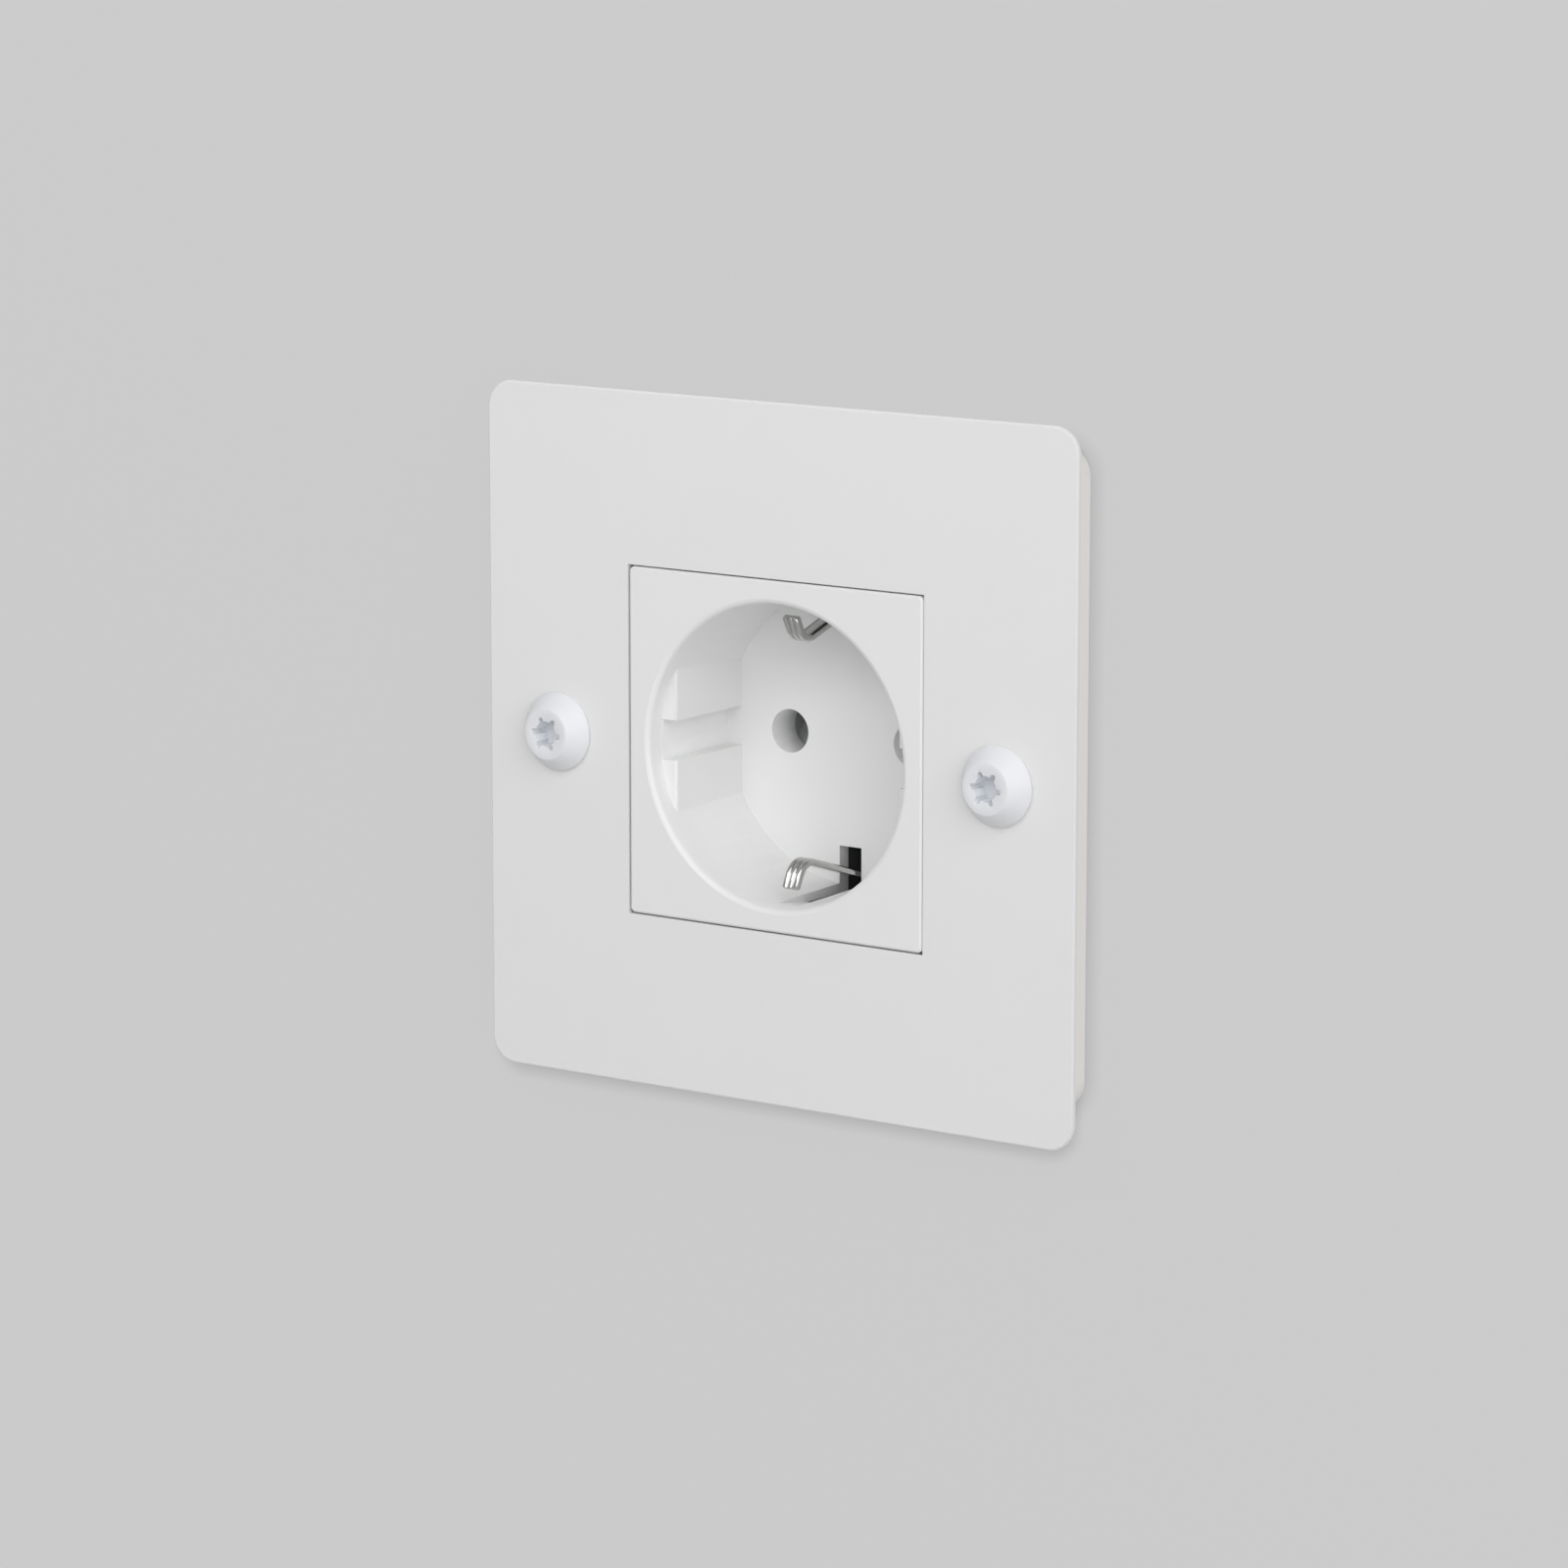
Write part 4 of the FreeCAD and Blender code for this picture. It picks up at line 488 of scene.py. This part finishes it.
# The recess lists each ring's depth, what it is widened by, and its share of the outline, in mm.
LOBE_RECESS = [(2.55, 0.0, 0.04), (2.3, 0.0, 0.5), (2.3, 0.0, 0.92), (2.2, 0.0, 0.97),
               (0.12, 0.0, 1.0), (0.04, 0.03, 1.0), (0.0, 0.12, 1.0)]
HEAD_HEIGHT, FINISH_SLACK = 3.0, 0.1
CONE_HEAD = [(2.78, 0.0), (3.2, 0.0), (3.34, 0.04), (3.46, 0.16), (4.96, 2.28), (5.07, 2.46),
             (5.1, 2.62), (5.1, 2.74), (5.02, 2.82), (4.8, 3.0), (2.12, 3.0), (2.0, 3.12)]


def lobed(depth, grow, share):
    """A ring that follows the six-lobe recess: round lobes joined by hollow flanks."""
    def ring(turn):
        step = 2 * pi / LOBES
        off = (turn - radians(LOBE_TURN) + step / 2) % step - step / 2
        lobe_middle = LOBE_REACH - LOBE_RADIUS
        reach = LOBE_RADIUS ** 2 - (lobe_middle * sin(off)) ** 2
        tip = lobe_middle * cos(off) + reach ** 0.5 if reach > 0 else 0.0
        return (max(tip, LOBE_WAIST) + grow) * share, depth
    return ring


head_rings = [lobed(depth, grow, share) for depth, grow, share in LOBE_RECESS]
head_rings += [fixed(radius, depth) for radius, depth in CONE_HEAD]
head_rings += threaded(PLATE_SHANK_START, PLATE_LENGTH, THREAD_RADIUS, THREAD_DEPTH, THREAD_PITCH)
coat_finish = made_of("coated_screw_head", colour=(0.835, 0.842, 0.868), shade=(0.826, 0.833, 0.860),
                      shade_patch=(2.5,), roughness=(0.36, 0.48), gloss_patch=(0.8,),
                      grain=[(0.004, (0.5,))])
# The recess faces get a darker colour than the head: painted shade for the hollow of the recess.
recess_shade_finish = made_of("recess_painted_shade", colour=(0.790, 0.810, 0.840), shade=(0.760, 0.782, 0.815),
                        shade_patch=(1.5,), roughness=(0.45, 0.56), gloss_patch=(0.6,),
                        grain=[(0.004, (0.5,))])
ON_HEAD, ON_THREAD, IN_RECESS = range(3)
for side in ("left", "right"):
    low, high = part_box("plate_screw_" + side)
    head_top = Vector(((low.x + high.x) / 2, low.y, (low.z + high.z) / 2))
    screw = turned("coated_screw_" + side, head_rings, PLATE_AROUND, head_top, Vector((0, 1, 0)))
    smooth(screw, SCREW_CREASE)
    for finish in (coat_finish, screw_finish, recess_shade_finish):
        screw.data.materials.append(finish)
    for face in screw.data.polygons:
        x, depth, z = (face.center - head_top) / MM
        face.material_index = ON_HEAD
        if FINISH_SLACK < depth < HEAD_HEIGHT and x ** 2 + z ** 2 < LOBE_REACH ** 2:
            face.material_index = IN_RECESS
        elif depth > PLATE_SHANK_START - FINISH_SLACK:
            face.material_index = ON_THREAD
    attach(screw, "socket")
    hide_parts("plate_screw_" + side)

# Setting: a plain grey wall that the socket is let into, and a plain pale floor well below it.
# The wall is open behind the spacer frame, as round a wall box, and is seen from the room only.
# It glows evenly, and its glow is dimmed in the corner where the frame stands on it: a painted contact
# shade.
WALL_PLACE = -0.00001
WALL_REACH = 1.5
WALL_OPENING = 0.039
WALL_GREY = (0.597, 0.597, 0.597)
WALL_GLOW = 0.93
CORNER_REACH, CORNER_SAMPLES = 0.0026, 12
CORNER_SHADE, OPEN_SHADE = 0.35, 0.73
FLOOR_REACH, FLOOR_DROP = 2, 0.6
FLOOR_GREY, FLOOR_ROUGHNESS = (0.62, 0.62, 0.62), 0.7
SQUARE = [(-1, -1), (1, -1), (1, 1), (-1, 1)]


def wall_paint():
    """Paint that glows on the room's side, with painted shade near the frame, and lets the camera through
    from behind.
    """
    finish = bpy.data.materials.new("painted_wall")
    finish.use_nodes = True
    tree = finish.node_tree
    tree.nodes.remove(tree.nodes["Principled BSDF"])
    paint = tree.nodes.new("ShaderNodeBsdfDiffuse")
    paint.inputs["Color"].default_value = (*WALL_GREY, 1)
    # Occlusion near the frame dims the glow: painted shade in the corner.
    corner = tree.nodes.new("ShaderNodeAmbientOcclusion")
    corner.inputs["Distance"].default_value = CORNER_REACH
    corner.samples = CORNER_SAMPLES
    corner_painted_shade = tree.nodes.new("ShaderNodeMapRange")
    corner_painted_shade.inputs["To Min"].default_value = CORNER_SHADE
    corner_painted_shade.inputs["To Max"].default_value = OPEN_SHADE
    glow = tree.nodes.new("ShaderNodeEmission")
    glow.inputs["Color"].default_value = (*WALL_GREY, 1)
    even = tree.nodes.new("ShaderNodeMixShader")
    even.inputs["Fac"].default_value = WALL_GLOW
    open_side = tree.nodes.new("ShaderNodeBsdfTransparent")
    sides = tree.nodes.new("ShaderNodeNewGeometry")
    rays = tree.nodes.new("ShaderNodeLightPath")
    both = tree.nodes.new("ShaderNodeMath")
    both.operation = "MULTIPLY"
    seen = tree.nodes.new("ShaderNodeMixShader")
    tree.links.new(corner.outputs["AO"], corner_painted_shade.inputs["Value"])
    tree.links.new(corner_painted_shade.outputs["Result"], glow.inputs["Strength"])
    tree.links.new(paint.outputs[0], even.inputs[1])
    tree.links.new(glow.outputs[0], even.inputs[2])
    tree.links.new(sides.outputs["Backfacing"], both.inputs[0])
    tree.links.new(rays.outputs["Is Camera Ray"], both.inputs[1])
    tree.links.new(both.outputs[0], seen.inputs["Fac"])
    tree.links.new(even.outputs[0], seen.inputs[1])
    tree.links.new(open_side.outputs[0], seen.inputs[2])
    tree.links.new(seen.outputs[0], tree.nodes["Material Output"].inputs["Surface"])
    return finish


wall_points = [(x * size, WALL_PLACE, z * size) for size in (WALL_REACH, WALL_OPENING) for x, z in SQUARE]
wall = new_piece("wall", wall_points, [(k, (k + 1) % 4, 4 + (k + 1) % 4, 4 + k) for k in range(4)])
wall.data.materials.append(wall_paint())
floor = new_piece("floor", [(x * FLOOR_REACH, y * FLOOR_REACH, -FLOOR_DROP) for x, y in SQUARE],
                  [(0, 1, 2, 3)])
floor_finish = bpy.data.materials.new("pale_floor")
floor_finish.use_nodes = True
floor_shader = floor_finish.node_tree.nodes["Principled BSDF"]
floor_shader.inputs["Base Color"].default_value = (*FLOOR_GREY, 1)
floor_shader.inputs["Roughness"].default_value = FLOOR_ROUGHNESS
floor.data.materials.append(floor_finish)

# Light: a large soft lamp beside and above the camera, a small one above the socket, an even pale
# surround, and a soft lamp behind the wall that shows the back of the socket. A far, even lamp lights
# the wall alone, and the plate casts a narrow soft shadow in it.
KEY_POWER, KEY_PLACE, KEY_SIZE = 12.2, (0.93, -0.92, 0.50), 1.8
TOP_POWER, TOP_PLACE, TOP_SIZE = 0.18, (-0.03, -0.31, 0.21), 0.14
BACK_POWER, BACK_PLACE, BACK_SIZE = 6.0, (-0.30, 0.65, 0.45), 0.5
FAR_POWER, FAR_SIDE, FAR_RISE, FAR_SPREAD = 14.8, 32.0, 18.0, 15.0
SURROUND = (0.43, 0.43, 0.43)


def soft_lamp(name, place, size, power):
    """A round lamp that points at the socket and isn't seen by the camera."""
    lamp = bpy.data.lights.new(name, "AREA")
    lamp.shape = "DISK"
    lamp.size = size
    lamp.energy = power
    holder = bpy.data.objects.new(name, lamp)
    holder.location = place
    holder.rotation_mode = "QUATERNION"
    holder.rotation_quaternion = (-Vector(place)).to_track_quat("-Z", "Y")
    holder.visible_camera = False
    bpy.context.scene.collection.objects.link(holder)


soft_lamp("key_lamp", KEY_PLACE, KEY_SIZE, KEY_POWER)
soft_lamp("top_lamp", TOP_PLACE, TOP_SIZE, TOP_POWER)
soft_lamp("back_lamp", BACK_PLACE, BACK_SIZE, BACK_POWER)
far_lamp = bpy.data.lights.new("far_lamp", "SUN")
far_lamp.energy = FAR_POWER
far_lamp.angle = radians(FAR_SPREAD)
far_holder = bpy.data.objects.new("far_lamp", far_lamp)
far_holder.rotation_euler = (radians(90 - FAR_RISE), 0, radians(FAR_SIDE))
bpy.context.scene.collection.objects.link(far_holder)
lit_pieces = bpy.data.collections.new("lit_by_far_lamp")
lit_pieces.objects.link(wall)
far_holder.light_linking.receiver_collection = lit_pieces
surround = bpy.data.worlds.new("pale_surround")
surround.use_nodes = True
surround.node_tree.nodes["Background"].inputs["Color"].default_value = (*SURROUND, 1)
bpy.context.scene.world = surround
bpy.context.scene.view_settings.view_transform = "Standard"

# Camera: it stands to the right of the socket and a little above it, as the photograph's did.
# Its place, aim and long lens bring the plate's and the insert's corners to where they are there.
CAMERA_PLACE = Vector((0.43002, -0.61897, 0.13440))
CAMERA_AIM = Vector((0.001676, -0.0085, -0.003189))
CAMERA_ROLL = 0.038
CAMERA_LENS, CAMERA_SENSOR, CAMERA_NEAR = 138.25, 36.0, 0.01
camera_data = bpy.data.cameras.new("camera")
camera_data.lens = CAMERA_LENS
camera_data.sensor_width = CAMERA_SENSOR
camera_data.clip_start = CAMERA_NEAR
camera = bpy.data.objects.new("camera", camera_data)
camera.location = CAMERA_PLACE
camera.rotation_mode = "QUATERNION"
level = (CAMERA_AIM - CAMERA_PLACE).to_track_quat("-Z", "Y")
camera.rotation_quaternion = level @ Quaternion((0, 0, 1), radians(CAMERA_ROLL))
bpy.context.scene.collection.objects.link(camera)
bpy.context.scene.camera = camera
